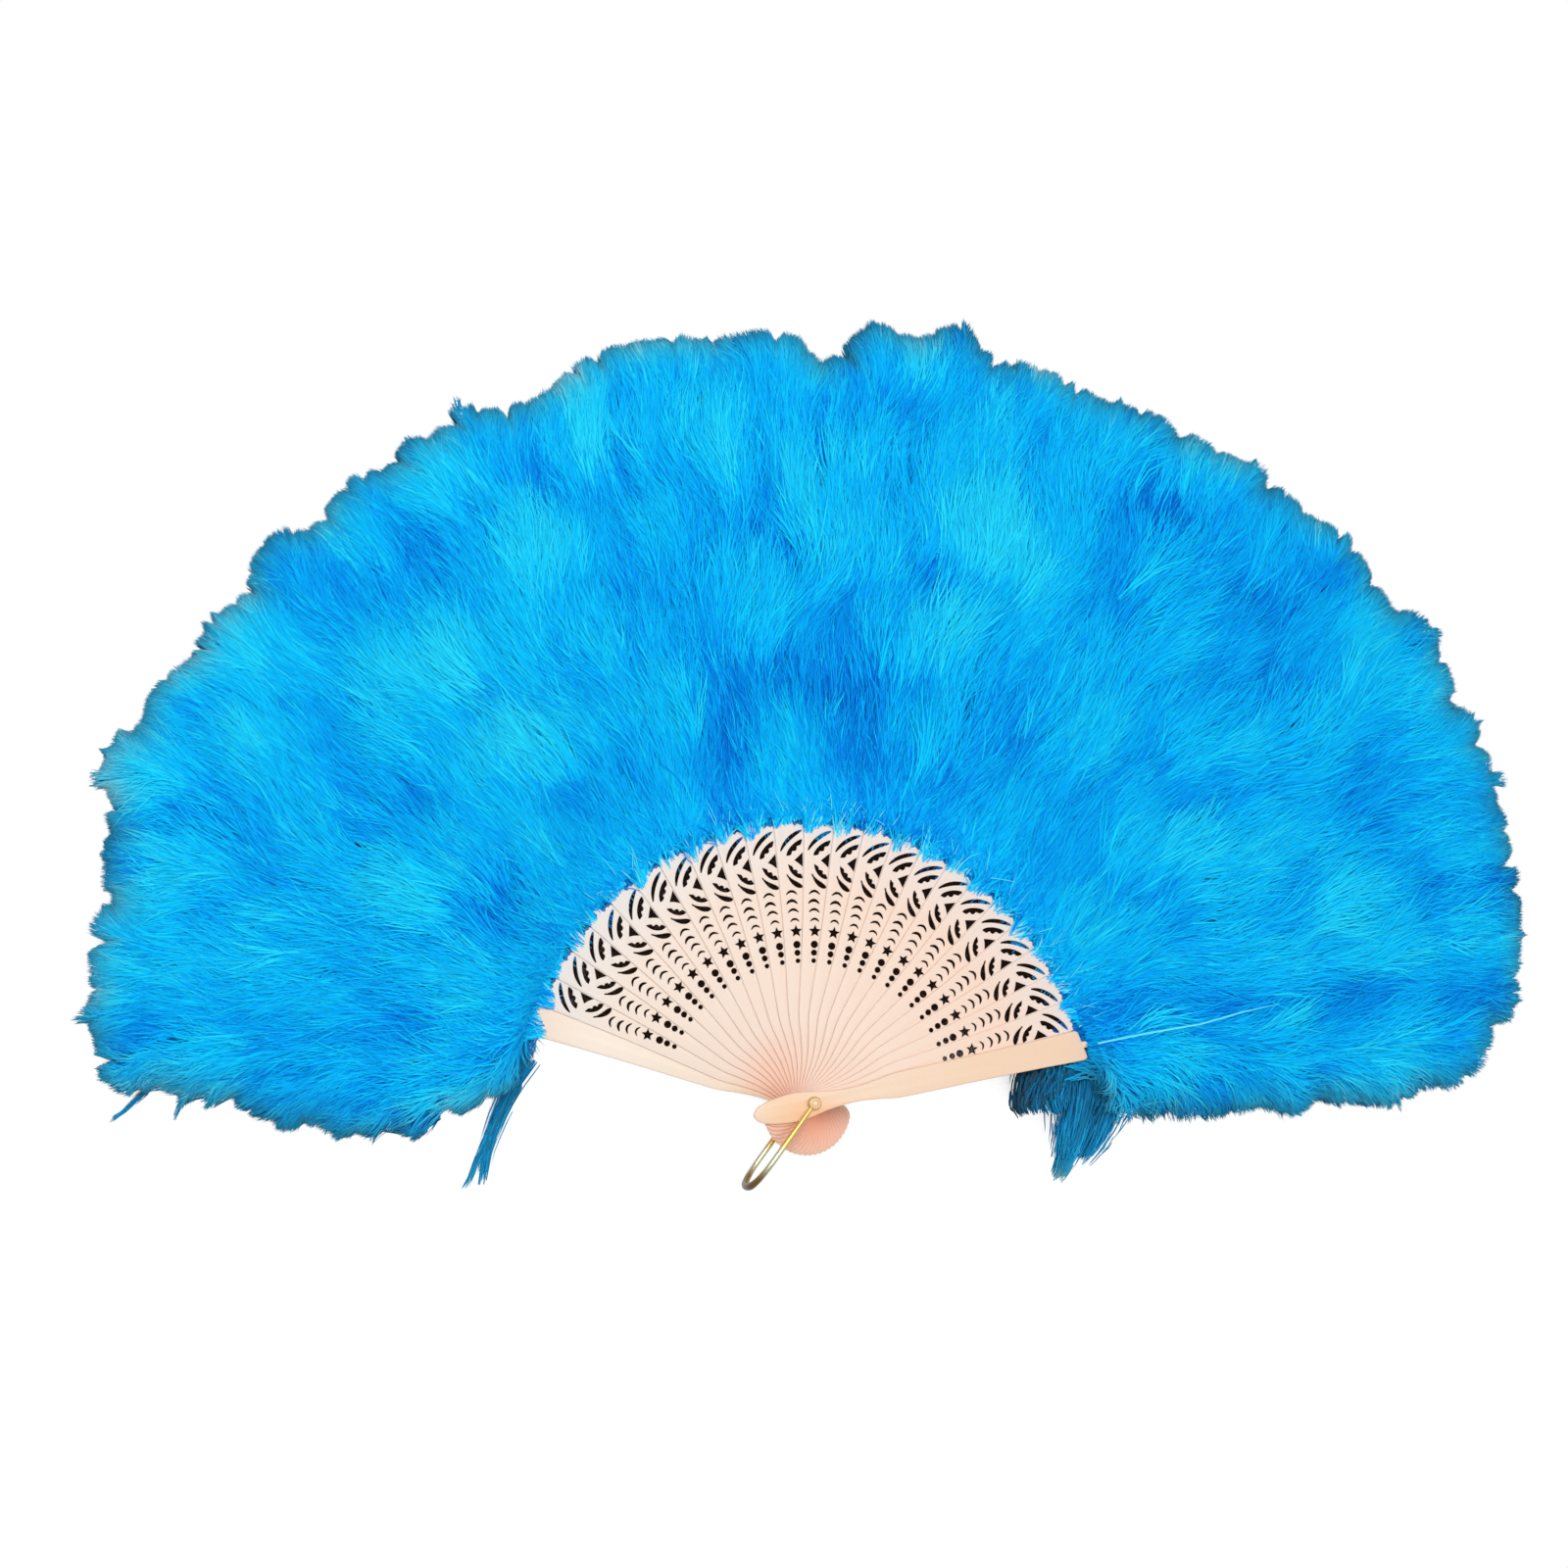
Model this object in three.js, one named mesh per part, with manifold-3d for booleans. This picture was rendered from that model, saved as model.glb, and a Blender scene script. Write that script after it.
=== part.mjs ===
// Feather fan, lying open on its back.
// Lengths are in millimetres and angles in degrees. The origin is on the rivet's axis, at the underside of
// its back head. +X is to the right, +Y towards the feathers and +Z up through the stack of sticks.
// A stave is a guard or an inner stick. The back guard, on the left, is stave 0.
// A stave is drawn in its own frame, with x along it from the rivet's axis and y across it to its left.

import * as THREE from 'three';
import { mergeVertices } from 'three/addons/utils/BufferGeometryUtils.js';
import Module from 'manifold-3d';

const wasm = await Module();
wasm.setup();

// Fan
const innerStickCount = 23;
const frontGuardAngle = 13;
const staveSpacing = 6.3;

// Staves
const stickThickness = 0.9;
const guardThickness = 2;
const layerGap = 0.15;
const bladeReach = 132;
const bladeHalfWidth = 7;
const headReach = 24;
const frontHeadReach = 28.5;
const headHalfWidth = 6.5;
const neckHalfWidth = 3.4;
const ribReach = 225;
const ribHalfWidth = 1.5;
const ribTipHalfWidth = 0.8;

// Rivet
const shaftRadius = 1.2;
const rivetHeadRadius = 2.6;
const rivetHeadHeight = 1.4;
const capHeight = 1.2;
const capSocketDepth = 0.6;
const capSocketGap = 0.1;
const shaftClearance = 0.3;
const endPlay = 0.2;

// Bail
const bailAngle = -125.4;
const bailStraightLength = 31;
const bailFlare = 1.1;
const wireRadius = 0.8;

// Piercing of the inner sticks
const starRadius = 2.7;
const largestDotRadius = 1.75;
const crescentHalfWidth = 2.5;
const crescentSag = 1.6;
const crescentWidth = 1.6;
const sweepSlotWidth = 2.1;

// Plumes
const plumeRootGap = 1;
const plumeReach = 356;
const plumeSideGap = 0.6;
const plumeRootHalfHeight = 2.4;
const plumePuff = 24;
const ribSlotGap = 0.3;

// Ribbon
const ribbonPlumeGap = 4;
const ribbonWidth = 4;
const ribbonThickness = 0.3;
const ribbonCentreGap = 0.6;
const ribbonEdgeGap = 0.35;

// Distances from the rivet's axis
const plumeRoot = bladeReach + plumeRootGap;
const ribbonOuterRadius = plumeRoot - ribbonPlumeGap;
const ribbonInnerRadius = ribbonOuterRadius - ribbonWidth;

// Levels, worked out from the rivet's back head up
const backEyeLevel = capHeight + endPlay + wireRadius;
const backGuardLevel = backEyeLevel + wireRadius + endPlay;
const firstStickLevel = backGuardLevel + guardThickness + layerGap;
const layerPitch = stickThickness + layerGap;
const frontGuardLevel = firstStickLevel + innerStickCount * layerPitch;
const frontEyeLevel = frontGuardLevel + guardThickness + endPlay + wireRadius;
const rivetHeadLevel = frontEyeLevel + wireRadius + endPlay;

// Side of a head, from its tip to the rivet: shares of its reach and headHalfWidth
const headSideShares = [[1, 0.14], [0.86, 0.52], [0.62, 0.86], [0.34, 1], [0.1, 0.92]];

// Side of a neck: shares of bladeReach and neckHalfWidth
const neckSideShares = [[0.06, 1.2], [0.15, 1], [0.23, 1.3]];

// Side of a blade: shares of bladeReach and bladeHalfWidth
const bladeSideShares = [[0.29, 0.8], [0.36, 0.85], [0.6, 0.845], [0.8, 0.93], [0.95, 1]];

// Tops of the blades, from left to right: shares of bladeReach and bladeHalfWidth
const stickTopShares = [[0.99, 0.86], [1, 0.5], [0.995, 0.3], [0.985, -0.3], [0.97, -0.8]];
const guardTopShares = [[0.985, 0.85], [1, 0.5], [1, -0.5], [0.985, -0.85]];

// Place of the star along the middle of a blade, as a share of bladeReach
const starShare = 0.598;

// Tips of the crescents' backs: shares of bladeReach and bladeHalfWidth
const crescentShares = [[0.641, 0.04], [0.674, 0.1], [0.705, 0.15], [0.738, 0.14]];

// Dots, from the star down: each one's radius, and its gap to the hole before it, as shares of largestDotRadius
const dotShares = [{ radius: 1, gap: 0.776 }, { radius: 0.82, gap: 0.367 }, { radius: 0.64, gap: 0.652 }];

// Slots swept across the upper blade, each by its two ends and its middle: shares of bladeReach and
// bladeHalfWidth
const sweepSlotShares = [
  [[0.796, 0.33], [0.768, -0.07], [0.753, -0.61]],
  [[0.829, 0.18], [0.803, -0.2], [0.786, -0.66]],
  [[0.913, -0.74], [0.888, -0.17], [0.865, 0.23]],
  [[0.946, -0.7], [0.918, 0.1], [0.886, 0.58]],
];
const triangleSlotShares = [[0.822, -0.74], [0.85, -0.2], [0.872, -0.78]];

// Widths along a crescent and along a swept slot, as shares of their greatest width
const crescentWidthShares = [0, 1, 0];
const sweepSlotWidthShares = [0, 1, 1, 0];

// Profile of a rivet's head from its rim to its top: shares of rivetHeadRadius and of the head's height
const capShares = [[1, 0.6], [0.85, 1]];
const domeShares = [[1, 0.45], [0.65, 0.85], [0, 1]];

// Stations of a plume from its root to its tip. along is a share of the way from root to tip, wide of its
// sector's width, drop of the way from the rib down to the table, lean of the rib's level and puff of
// plumePuff.
const plumeStations = [
  { along: 0.12, wide: 1, drop: 0.25, lean: 0.95, puff: 0.35 },
  { along: 0.3, wide: 1, drop: 0.7, lean: 0.8, puff: 0.9 },
  { along: 0.5, wide: 1, drop: 0.9, lean: 0.7, puff: 1 },
  { along: 0.74, wide: 1, drop: 1, lean: 0.5, puff: 0.95 },
  { along: 0.92, wide: 0.96, drop: 1, lean: 0.35, puff: 0.7 },
  { along: 1, wide: 0.62, drop: 0.95, lean: 0.3, puff: 0.3 },
];

// How far each plume reaches, from the back guard's to the front guard's, as shares of plumeReach
const plumeReachShares = [
  0.937, 0.979, 0.987, 0.977, 0.985, 0.986, 0.989, 1.004, 0.984, 1.009, 1.011, 1.012, 1.004,
  1.036, 1.03, 1.025, 1.039, 1.054, 1.06, 1.066, 1.076, 1.06, 1.061, 1.037, 1.011,
];

// The guards' plumes spread below their guards. Each entry is a place along the plume's way and the outer
// edge's distance from the stave's centre line, both as shares of plumeReach.
const backSpreadShares = [
  { at: 0.374, out: 0.105 }, { at: 0.475, out: 0.197 }, { at: 0.6, out: 0.21 }, { at: 0.72, out: 0.212 },
  { at: 0.86, out: 0.222 }, { at: 0.9, out: 0.17 }, { at: 0.95, out: 0.06 },
];
const frontSpreadShares = [
  { at: 0.374, out: 0.1 }, { at: 0.5, out: 0.132 }, { at: 0.62, out: 0.145 }, { at: 0.76, out: 0.175 },
  { at: 0.87, out: 0.168 }, { at: 0.93, out: 0.14 }, { at: 1.02, out: 0.05 },
];

// Share of a plume's half width and half height at which its section's corners are cut
const plumeCornerShare = 0.7;

const radians = THREE.MathUtils.degToRad;
const lastStave = innerStickCount + 1;
const staveAngle = (stave) => frontGuardAngle + (lastStave - stave) * staveSpacing;
const stickName = (stave) => String(stave).padStart(2, '0');

const guardMaterial = new THREE.MeshStandardMaterial({ color: 0xfbd6b8, roughness: 0.35, metalness: 0 });
const stickMaterial = new THREE.MeshStandardMaterial({ color: 0xfce0d0, roughness: 0.35, metalness: 0 });
const rivetMaterial = new THREE.MeshStandardMaterial({ color: 0xf7cfb0, roughness: 0.3, metalness: 0 });
const bailMaterial = new THREE.MeshStandardMaterial({ color: 0xd9b44a, roughness: 0.25, metalness: 1 });
const plumeMaterial = new THREE.MeshStandardMaterial({ color: 0x0c98e8, roughness: 0.9, metalness: 0 });
const ribbonMaterial = new THREE.MeshStandardMaterial({ color: 0x1a86c8, roughness: 0.6, metalness: 0 });

const fan = new THREE.Group();

// Geometry helpers

function closed(geometry) {
  const positions = geometry.clone();
  positions.deleteAttribute('normal');
  positions.deleteAttribute('uv');
  return mergeVertices(positions);
}

function toSolid(geometry) {
  const merged = closed(geometry);
  return new wasm.Manifold(new wasm.Mesh({
    numProp: 3,
    vertProperties: new Float32Array(merged.attributes.position.array),
    triVerts: new Uint32Array(merged.index.array),
  }));
}

function toGeometry(solid) {
  const mesh = solid.getMesh();
  const geometry = new THREE.BufferGeometry();
  geometry.setAttribute('position', new THREE.BufferAttribute(mesh.vertProperties, mesh.numProp));
  geometry.setIndex(new THREE.BufferAttribute(mesh.triVerts, 1));
  return geometry;
}

// A closed skin over rings of points, all with the same number of points and in the same order
function loft(rings) {
  const sides = rings[0].length;
  const faces = [];
  for (let ring = 0; ring + 1 < rings.length; ring++) {
    for (let side = 0; side < sides; side++) {
      const a = ring * sides + side;
      const b = ring * sides + (side + 1) % sides;
      faces.push(a, b, a + sides, b, b + sides, a + sides);
    }
  }
  const last = (rings.length - 1) * sides;
  for (let side = 1; side + 1 < sides; side++) {
    faces.push(0, side + 1, side, last, last + side, last + side + 1);
  }
  const geometry = new THREE.BufferGeometry();
  geometry.setAttribute('position', new THREE.Float32BufferAttribute(rings.flat(2), 3));
  geometry.setIndex(faces);
  return geometry;
}

function addMesh(name, geometry, material, turn = 0, level = 0) {
  const group = new THREE.Group();
  const mesh = new THREE.Mesh(geometry, material);
  mesh.name = name;
  group.rotation.z = radians(turn);
  group.position.z = level;
  group.add(mesh);
  fan.add(group);
}

// Staves

function staveOutline(topShares, head) {
  const side = [
    ...headSideShares.map(([along, wide]) => [-along * head, wide * headHalfWidth]),
    ...neckSideShares.map(([along, wide]) => [along * bladeReach, wide * neckHalfWidth]),
    ...bladeSideShares.map(([along, wide]) => [along * bladeReach, wide * bladeHalfWidth]),
  ];
  const top = topShares.map(([along, wide]) => [along * bladeReach, wide * bladeHalfWidth]);
  const ribFoot = bladeReach - ribHalfWidth;
  const rib = [
    [ribFoot, ribHalfWidth], [ribReach, ribTipHalfWidth],
    [ribReach, -ribTipHalfWidth], [ribFoot, -ribHalfWidth],
  ];
  const leftTop = top.filter(([, y]) => y > ribHalfWidth);
  const rightTop = top.filter(([, y]) => y < -ribHalfWidth);
  const leftSide = side.map(([x, y]) => new THREE.Vector2(x, y));
  const rightSide = side.map(([x, y]) => new THREE.Vector2(x, -y)).reverse();
  const crown = [...leftTop, ...rib, ...rightTop].map(([x, y]) => new THREE.Vector2(x, y));
  return [...leftSide, ...crown, ...rightSide].reverse();
}

function roundHole(x, radius, sides) {
  const points = [];
  for (let side = 0; side < sides; side++) {
    const angle = 2 * Math.PI * side / sides;
    points.push(new THREE.Vector2(x + radius * Math.cos(angle), radius * Math.sin(angle)));
  }
  return points;
}

function starHole() {
  const pointCount = 5;
  const innerShare = 0.46;
  const place = starShare * bladeReach;
  const points = [];
  for (let corner = 0; corner < 2 * pointCount; corner++) {
    const angle = Math.PI * corner / pointCount;
    const radius = corner % 2 ? innerShare * starRadius : starRadius;
    points.push(new THREE.Vector2(place + radius * Math.cos(angle), radius * Math.sin(angle)));
  }
  return points;
}

// A slot along the curve from start by middle to end, pointed at both ends
function curvedSlot(start, middle, end, width, widthShares) {
  const control = middle.clone().multiplyScalar(2).sub(start.clone().add(end).multiplyScalar(0.5));
  const curve = new THREE.QuadraticBezierCurve(start, control, end);
  const steps = widthShares.length - 1;
  const outer = [];
  const inner = [];
  widthShares.forEach((share, step) => {
    const point = curve.getPoint(step / steps);
    const tangent = curve.getTangent(step / steps);
    const normal = new THREE.Vector2(-tangent.y, tangent.x).multiplyScalar(0.5 * share * width);
    outer.push(point.clone().add(normal));
    if (share > 0) inner.unshift(point.clone().sub(normal));
  });
  return [...outer, ...inner];
}

function crescentHole(tip) {
  return curvedSlot(
    new THREE.Vector2(tip.x - crescentSag, tip.y + crescentHalfWidth),
    tip,
    new THREE.Vector2(tip.x - crescentSag, tip.y - crescentHalfWidth),
    crescentWidth, crescentWidthShares,
  );
}

function onBlade([along, wide]) {
  return new THREE.Vector2(along * bladeReach, wide * bladeHalfWidth);
}

function piercing() {
  const holes = [starHole(), triangleSlotShares.map(onBlade)];
  let edge = starShare * bladeReach - starRadius;
  for (const { radius, gap } of dotShares) {
    const place = edge - (gap + radius) * largestDotRadius;
    holes.push(roundHole(place, radius * largestDotRadius, 6));
    edge = place - radius * largestDotRadius;
  }
  for (const place of crescentShares) {
    holes.push(crescentHole(onBlade(place)));
  }
  for (const places of sweepSlotShares) {
    const [start, middle, end] = places.map(onBlade);
    holes.push(curvedSlot(start, middle, end, sweepSlotWidth, sweepSlotWidthShares));
  }
  return holes;
}

function staveGeometry(topShares, thickness, holes, head = headReach) {
  const shape = new THREE.Shape(staveOutline(topShares, head));
  const pivotHole = roundHole(0, shaftRadius + shaftClearance, 8);
  shape.holes = [pivotHole, ...holes].map((points) => new THREE.Path(points));
  return closed(new THREE.ExtrudeGeometry(shape, { depth: thickness, bevelEnabled: false }));
}

function staveLevel(stave) {
  if (stave === 0) return backGuardLevel;
  return firstStickLevel + (stave - 1) * layerPitch;
}

function addStaves() {
  const guard = staveGeometry(guardTopShares, guardThickness, []);
  const frontGuard = staveGeometry(guardTopShares, guardThickness, [], frontHeadReach);
  const stick = staveGeometry(stickTopShares, stickThickness, piercing());
  addMesh('guard_back', guard, guardMaterial, staveAngle(0), staveLevel(0));
  for (let stave = 1; stave <= innerStickCount; stave++) {
    addMesh(`stick_${stickName(stave)}`, stick, stickMaterial, staveAngle(stave), staveLevel(stave));
  }
  addMesh('guard_front', frontGuard, guardMaterial, staveAngle(lastStave), staveLevel(lastStave));
}

// Rivet

function addRivet() {
  const sides = 16;
  const socketRadius = shaftRadius + shaftClearance;
  const socketFloor = capHeight - capSocketDepth;
  const pinFoot = socketFloor + capSocketGap;
  const cap = [
    [0, 0], [rivetHeadRadius, 0],
    ...capShares.map(([out, up]) => [out * rivetHeadRadius, up * capHeight]),
    [socketRadius, capHeight], [socketRadius, socketFloor], [0, socketFloor],
  ];
  const pin = [
    [0, pinFoot], [shaftRadius, pinFoot], [shaftRadius, rivetHeadLevel], [rivetHeadRadius, rivetHeadLevel],
    ...domeShares.map(([out, up]) => [out * rivetHeadRadius, rivetHeadLevel + up * rivetHeadHeight]),
  ];
  for (const [name, profile] of [['rivet_cap', cap], ['rivet_pin', pin]]) {
    const points = profile.map(([radius, level]) => new THREE.Vector2(radius, level));
    const turned = closed(new THREE.LatheGeometry(points, sides));
    turned.rotateX(Math.PI / 2);
    addMesh(name, turned, rivetMaterial);
  }
}

// Bail

// The wire's centre line: out along the front leg, round the bend and back along the rear leg. The legs flare
// away from the sticks by bailFlare.
class BailLine extends THREE.Curve {
  getPoint(t, target = new THREE.Vector3()) {
    const bendRadius = (frontEyeLevel - backEyeLevel) / 2 + bailFlare;
    const bendLevel = (frontEyeLevel + backEyeLevel) / 2;
    const eyeRadius = shaftRadius + shaftClearance + wireRadius;
    const leg = bailStraightLength - eyeRadius;
    const bend = Math.PI * bendRadius;
    const travelled = t * (2 * leg + bend);
    if (travelled <= leg) {
      return target.set(eyeRadius + travelled, 0, frontEyeLevel + bailFlare * travelled / leg);
    }
    const left = 2 * leg + bend - travelled;
    if (left <= leg) return target.set(eyeRadius + left, 0, backEyeLevel - bailFlare * left / leg);
    const angle = (travelled - leg) / bendRadius;
    return target.set(
      bailStraightLength + bendRadius * Math.sin(angle), 0, bendLevel + bendRadius * Math.cos(angle));
  }
}

function addBail() {
  const sides = 6;
  const section = new THREE.Shape(roundHole(0, wireRadius, sides));
  const wire = new THREE.ExtrudeGeometry(section, { steps: 24, extrudePath: new BailLine() });
  const eyeRadius = shaftRadius + shaftClearance + wireRadius;
  let bail = toSolid(wire);
  for (const level of [backEyeLevel, frontEyeLevel]) {
    const eye = new THREE.TorusGeometry(eyeRadius, wireRadius, sides, 12);
    eye.translate(0, 0, level);
    bail = bail.add(toSolid(eye));
  }
  addMesh('bail', toGeometry(bail), bailMaterial, bailAngle);
}

// Plumes

// An eight-sided section across a stave, from its right edge to its left and from low to high
function plumeRing(x, right, left, low, high) {
  const middleY = (left + right) / 2;
  const middleZ = (low + high) / 2;
  const halfY = (left - right) / 2;
  const halfZ = (high - low) / 2;
  const corner = plumeCornerShare;
  const turns = [
    [1, -corner], [1, corner], [corner, 1], [-corner, 1],
    [-1, corner], [-1, -corner], [-corner, -1], [corner, -1],
  ];
  return turns.map(([y, z]) => [x, middleY + y * halfY, middleZ + z * halfZ]);
}

function guardSpread(shares, x, reach) {
  const stops = shares.map(({ at, out }) => ({ x: at * plumeReach, y: out * plumeReach }));
  const after = Math.max(1, stops.findIndex((stop) => stop.x >= Math.min(x, reach)));
  const [from, to] = [stops[after - 1], stops[after]];
  return THREE.MathUtils.mapLinear(x, from.x, to.x, from.y, to.y);
}

function plumeGeometry(stave) {
  const thickness = stave === 0 || stave === lastStave ? guardThickness : stickThickness;
  const ribLevel = staveLevel(stave) + thickness / 2;
  const reach = plumeReachShares[stave] * plumeReach;
  const sectorTangent = Math.tan(radians(staveSpacing / 2));
  const edge = (x) => x * sectorTangent - plumeSideGap / 2;
  const leftEdge = (x, wide) => (stave === 0 ? guardSpread(backSpreadShares, x, reach) : wide * edge(x));
  const rightEdge = (x, wide) => (stave === lastStave
    ? -guardSpread(frontSpreadShares, x, reach) : -wide * edge(x));
  const rings = [plumeRing(
    plumeRoot, rightEdge(plumeRoot, 1), leftEdge(plumeRoot, 1),
    ribLevel - plumeRootHalfHeight, ribLevel + plumeRootHalfHeight,
  )];
  for (const { along, wide, drop, lean, puff } of plumeStations) {
    const x = plumeRoot + along * (reach - plumeRoot);
    const low = (1 - drop) * (ribLevel - plumeRootHalfHeight);
    rings.push(plumeRing(x, rightEdge(x, wide), leftEdge(x, wide), low, lean * ribLevel + puff * plumePuff));
  }
  const slotEnd = ribReach + ribSlotGap;
  const slotStart = plumeRoot - ribSlotGap;
  const slot = new THREE.BoxGeometry(
    slotEnd - slotStart, 2 * (ribHalfWidth + ribSlotGap), thickness + 2 * ribSlotGap);
  slot.translate((slotStart + slotEnd) / 2, 0, ribLevel);
  return toGeometry(toSolid(loft(rings)).subtract(toSolid(slot)));
}

function addPlumes() {
  for (let stave = 0; stave <= lastStave; stave++) {
    let name = `plume_${stickName(stave)}`;
    if (stave === 0) name = 'plume_back_guard';
    if (stave === lastStave) name = 'plume_front_guard';
    addMesh(name, plumeGeometry(stave), plumeMaterial, staveAngle(stave));
  }
}

// Ribbon

// The ribbon runs behind the blades, just under each one's middle and right edge, so it climbs from layer to
// layer
function addRibbon() {
  const bladeEdgeAngle = THREE.MathUtils.radToDeg(Math.atan2(bladeHalfWidth, ribbonInnerRadius));
  const rings = [];
  const addRing = (angle, top) => {
    const along = new THREE.Vector2(Math.cos(radians(angle)), Math.sin(radians(angle)));
    const inner = along.clone().multiplyScalar(ribbonInnerRadius);
    const outer = along.clone().multiplyScalar(ribbonOuterRadius);
    const bottom = top - ribbonThickness;
    rings.push([
      [inner.x, inner.y, bottom], [outer.x, outer.y, bottom],
      [outer.x, outer.y, top], [inner.x, inner.y, top],
    ]);
  };
  for (let stave = 0; stave <= lastStave; stave++) {
    addRing(staveAngle(stave), staveLevel(stave) - ribbonCentreGap);
    if (stave < lastStave) addRing(staveAngle(stave) - bladeEdgeAngle, staveLevel(stave) - ribbonEdgeGap);
  }
  addMesh('link_ribbon', loft(rings), ribbonMaterial);
}

addStaves();
addRivet();
addBail();
addPlumes();
addRibbon();

export default fan;
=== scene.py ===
# Feather fan, open and lying on its back on a pale floor.
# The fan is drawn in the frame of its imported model: metres, origin on the rivet's axis, +X to the right, +Y towards
# the feathers and +Z up through the stack of sticks. A stave is a guard or an inner stick, and is drawn in its own
# frame, with x along it from the rivet and y across it to its left. Stave 0 is the back guard, on the left.

import math

import bpy
import numpy as np
from mathutils import Matrix, Vector


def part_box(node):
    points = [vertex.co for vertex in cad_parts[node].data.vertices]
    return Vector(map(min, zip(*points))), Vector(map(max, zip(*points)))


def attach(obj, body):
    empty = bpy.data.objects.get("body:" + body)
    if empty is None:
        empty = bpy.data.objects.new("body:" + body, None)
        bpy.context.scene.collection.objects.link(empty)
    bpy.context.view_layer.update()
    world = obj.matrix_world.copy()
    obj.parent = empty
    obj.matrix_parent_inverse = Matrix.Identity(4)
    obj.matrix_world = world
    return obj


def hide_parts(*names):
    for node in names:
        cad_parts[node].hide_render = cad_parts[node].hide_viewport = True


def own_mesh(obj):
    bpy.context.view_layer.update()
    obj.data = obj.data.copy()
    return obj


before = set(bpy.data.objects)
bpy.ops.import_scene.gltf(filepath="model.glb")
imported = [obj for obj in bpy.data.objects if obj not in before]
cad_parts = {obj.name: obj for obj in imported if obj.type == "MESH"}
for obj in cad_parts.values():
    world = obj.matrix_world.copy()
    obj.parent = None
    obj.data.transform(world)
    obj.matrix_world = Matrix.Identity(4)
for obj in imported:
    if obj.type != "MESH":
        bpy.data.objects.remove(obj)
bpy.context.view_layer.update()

MM = 0.001
INNER_STICKS = 23
LAST_STAVE = INNER_STICKS + 1
GUARDS = (0, LAST_STAVE)
# In degrees
FRONT_GUARD_ANGLE = 13.0
STAVE_SPACING = 6.3

STICK_THICKNESS = 0.9 * MM
GUARD_THICKNESS = 2.0 * MM


def stave_angle(stave):
    return math.radians(FRONT_GUARD_ANGLE + (LAST_STAVE - stave) * STAVE_SPACING)


def stave_thickness(stave):
    return GUARD_THICKNESS if stave in GUARDS else STICK_THICKNESS


def numbered(stave, back, front, inner):
    """A stave's name for something: back or front for the guards, and inner with its number for a stick."""
    return {0: back, LAST_STAVE: front}.get(stave, f"{inner}_{stave:02d}")


def stave_body(stave):
    return numbered(stave, "back_guard", "front_guard", "stave")


def stave_node(stave):
    return numbered(stave, "guard_back", "guard_front", "stick")


def plume_node(stave):
    return numbered(stave, "plume_back_guard", "plume_front_guard", "plume")


RIVET_RADIUS = 2.6 * MM
STAVE_LEVELS = [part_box(stave_node(stave))[0][2] for stave in range(LAST_STAVE + 1)]


def stave_level(stave):
    """The underside of a stave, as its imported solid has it."""
    return STAVE_LEVELS[stave]


# Camera and room


def add_camera():
    """Stands in front of the open fan, a little to its left and below it, as the photograph was taken."""
    aim, distance, frame_width, sensor = Vector((-16.25, 145.4, 28)) * MM, 1.6, 0.7184, 36
    yaw, pitch, roll = math.radians(12), math.radians(4.9), math.radians(1.15)
    back = Vector((-math.sin(yaw) * math.cos(pitch), -math.sin(pitch), math.cos(yaw) * math.cos(pitch)))
    across = Vector((math.cos(yaw), 0, math.sin(yaw)))
    up = back.cross(across)
    across, up = across * math.cos(roll) + up * math.sin(roll), up * math.cos(roll) - across * math.sin(roll)
    camera = bpy.data.objects.new("camera", bpy.data.cameras.new("camera"))
    bpy.context.scene.collection.objects.link(camera)
    camera.matrix_world = Matrix.Translation(aim + back * distance) @ Matrix((across, up, back)).transposed().to_4x4()
    camera.data.sensor_width = sensor
    camera.data.lens = sensor * distance / frame_width
    camera.data.clip_start, camera.data.clip_end = 0.05, 20
    bpy.context.scene.camera = camera


def add_lamp(name, place, size, power, aim=(0, 0.15, 0)):
    data = bpy.data.lights.new(name, "AREA")
    data.shape, data.size, data.energy = "DISK", size, power
    lamp = bpy.data.objects.new(name, data)
    bpy.context.scene.collection.objects.link(lamp)
    lamp.location = place
    lamp.rotation_mode = "QUATERNION"
    lamp.rotation_quaternion = (Vector(aim) - Vector(place)).to_track_quat("-Z", "Y")


# Shader arithmetic


class Wire:
    """A shader socket that takes part in plain arithmetic, and adds the Math nodes that it needs."""

    def __init__(self, paint, socket):
        self.paint, self.socket = paint, socket

    def maths(self, operation, *values):
        return self.paint.node("ShaderNodeMath", {"operation": operation}, dict(enumerate(values)))

    def __add__(self, other):
        return self.maths("ADD", self, other)

    __radd__ = __add__

    def __sub__(self, other):
        return self.maths("SUBTRACT", self, other)

    def __rsub__(self, other):
        return self.maths("SUBTRACT", other, self)

    def __mul__(self, other):
        return self.maths("MULTIPLY", self, other)

    __rmul__ = __mul__

    def __truediv__(self, other):
        return self.maths("DIVIDE", self, other)

    def __pow__(self, other):
        return self.maths("POWER", self, other)

    def clamped(self):
        return self.maths("MINIMUM", self.maths("MAXIMUM", self, 0.0), 1.0)


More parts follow.
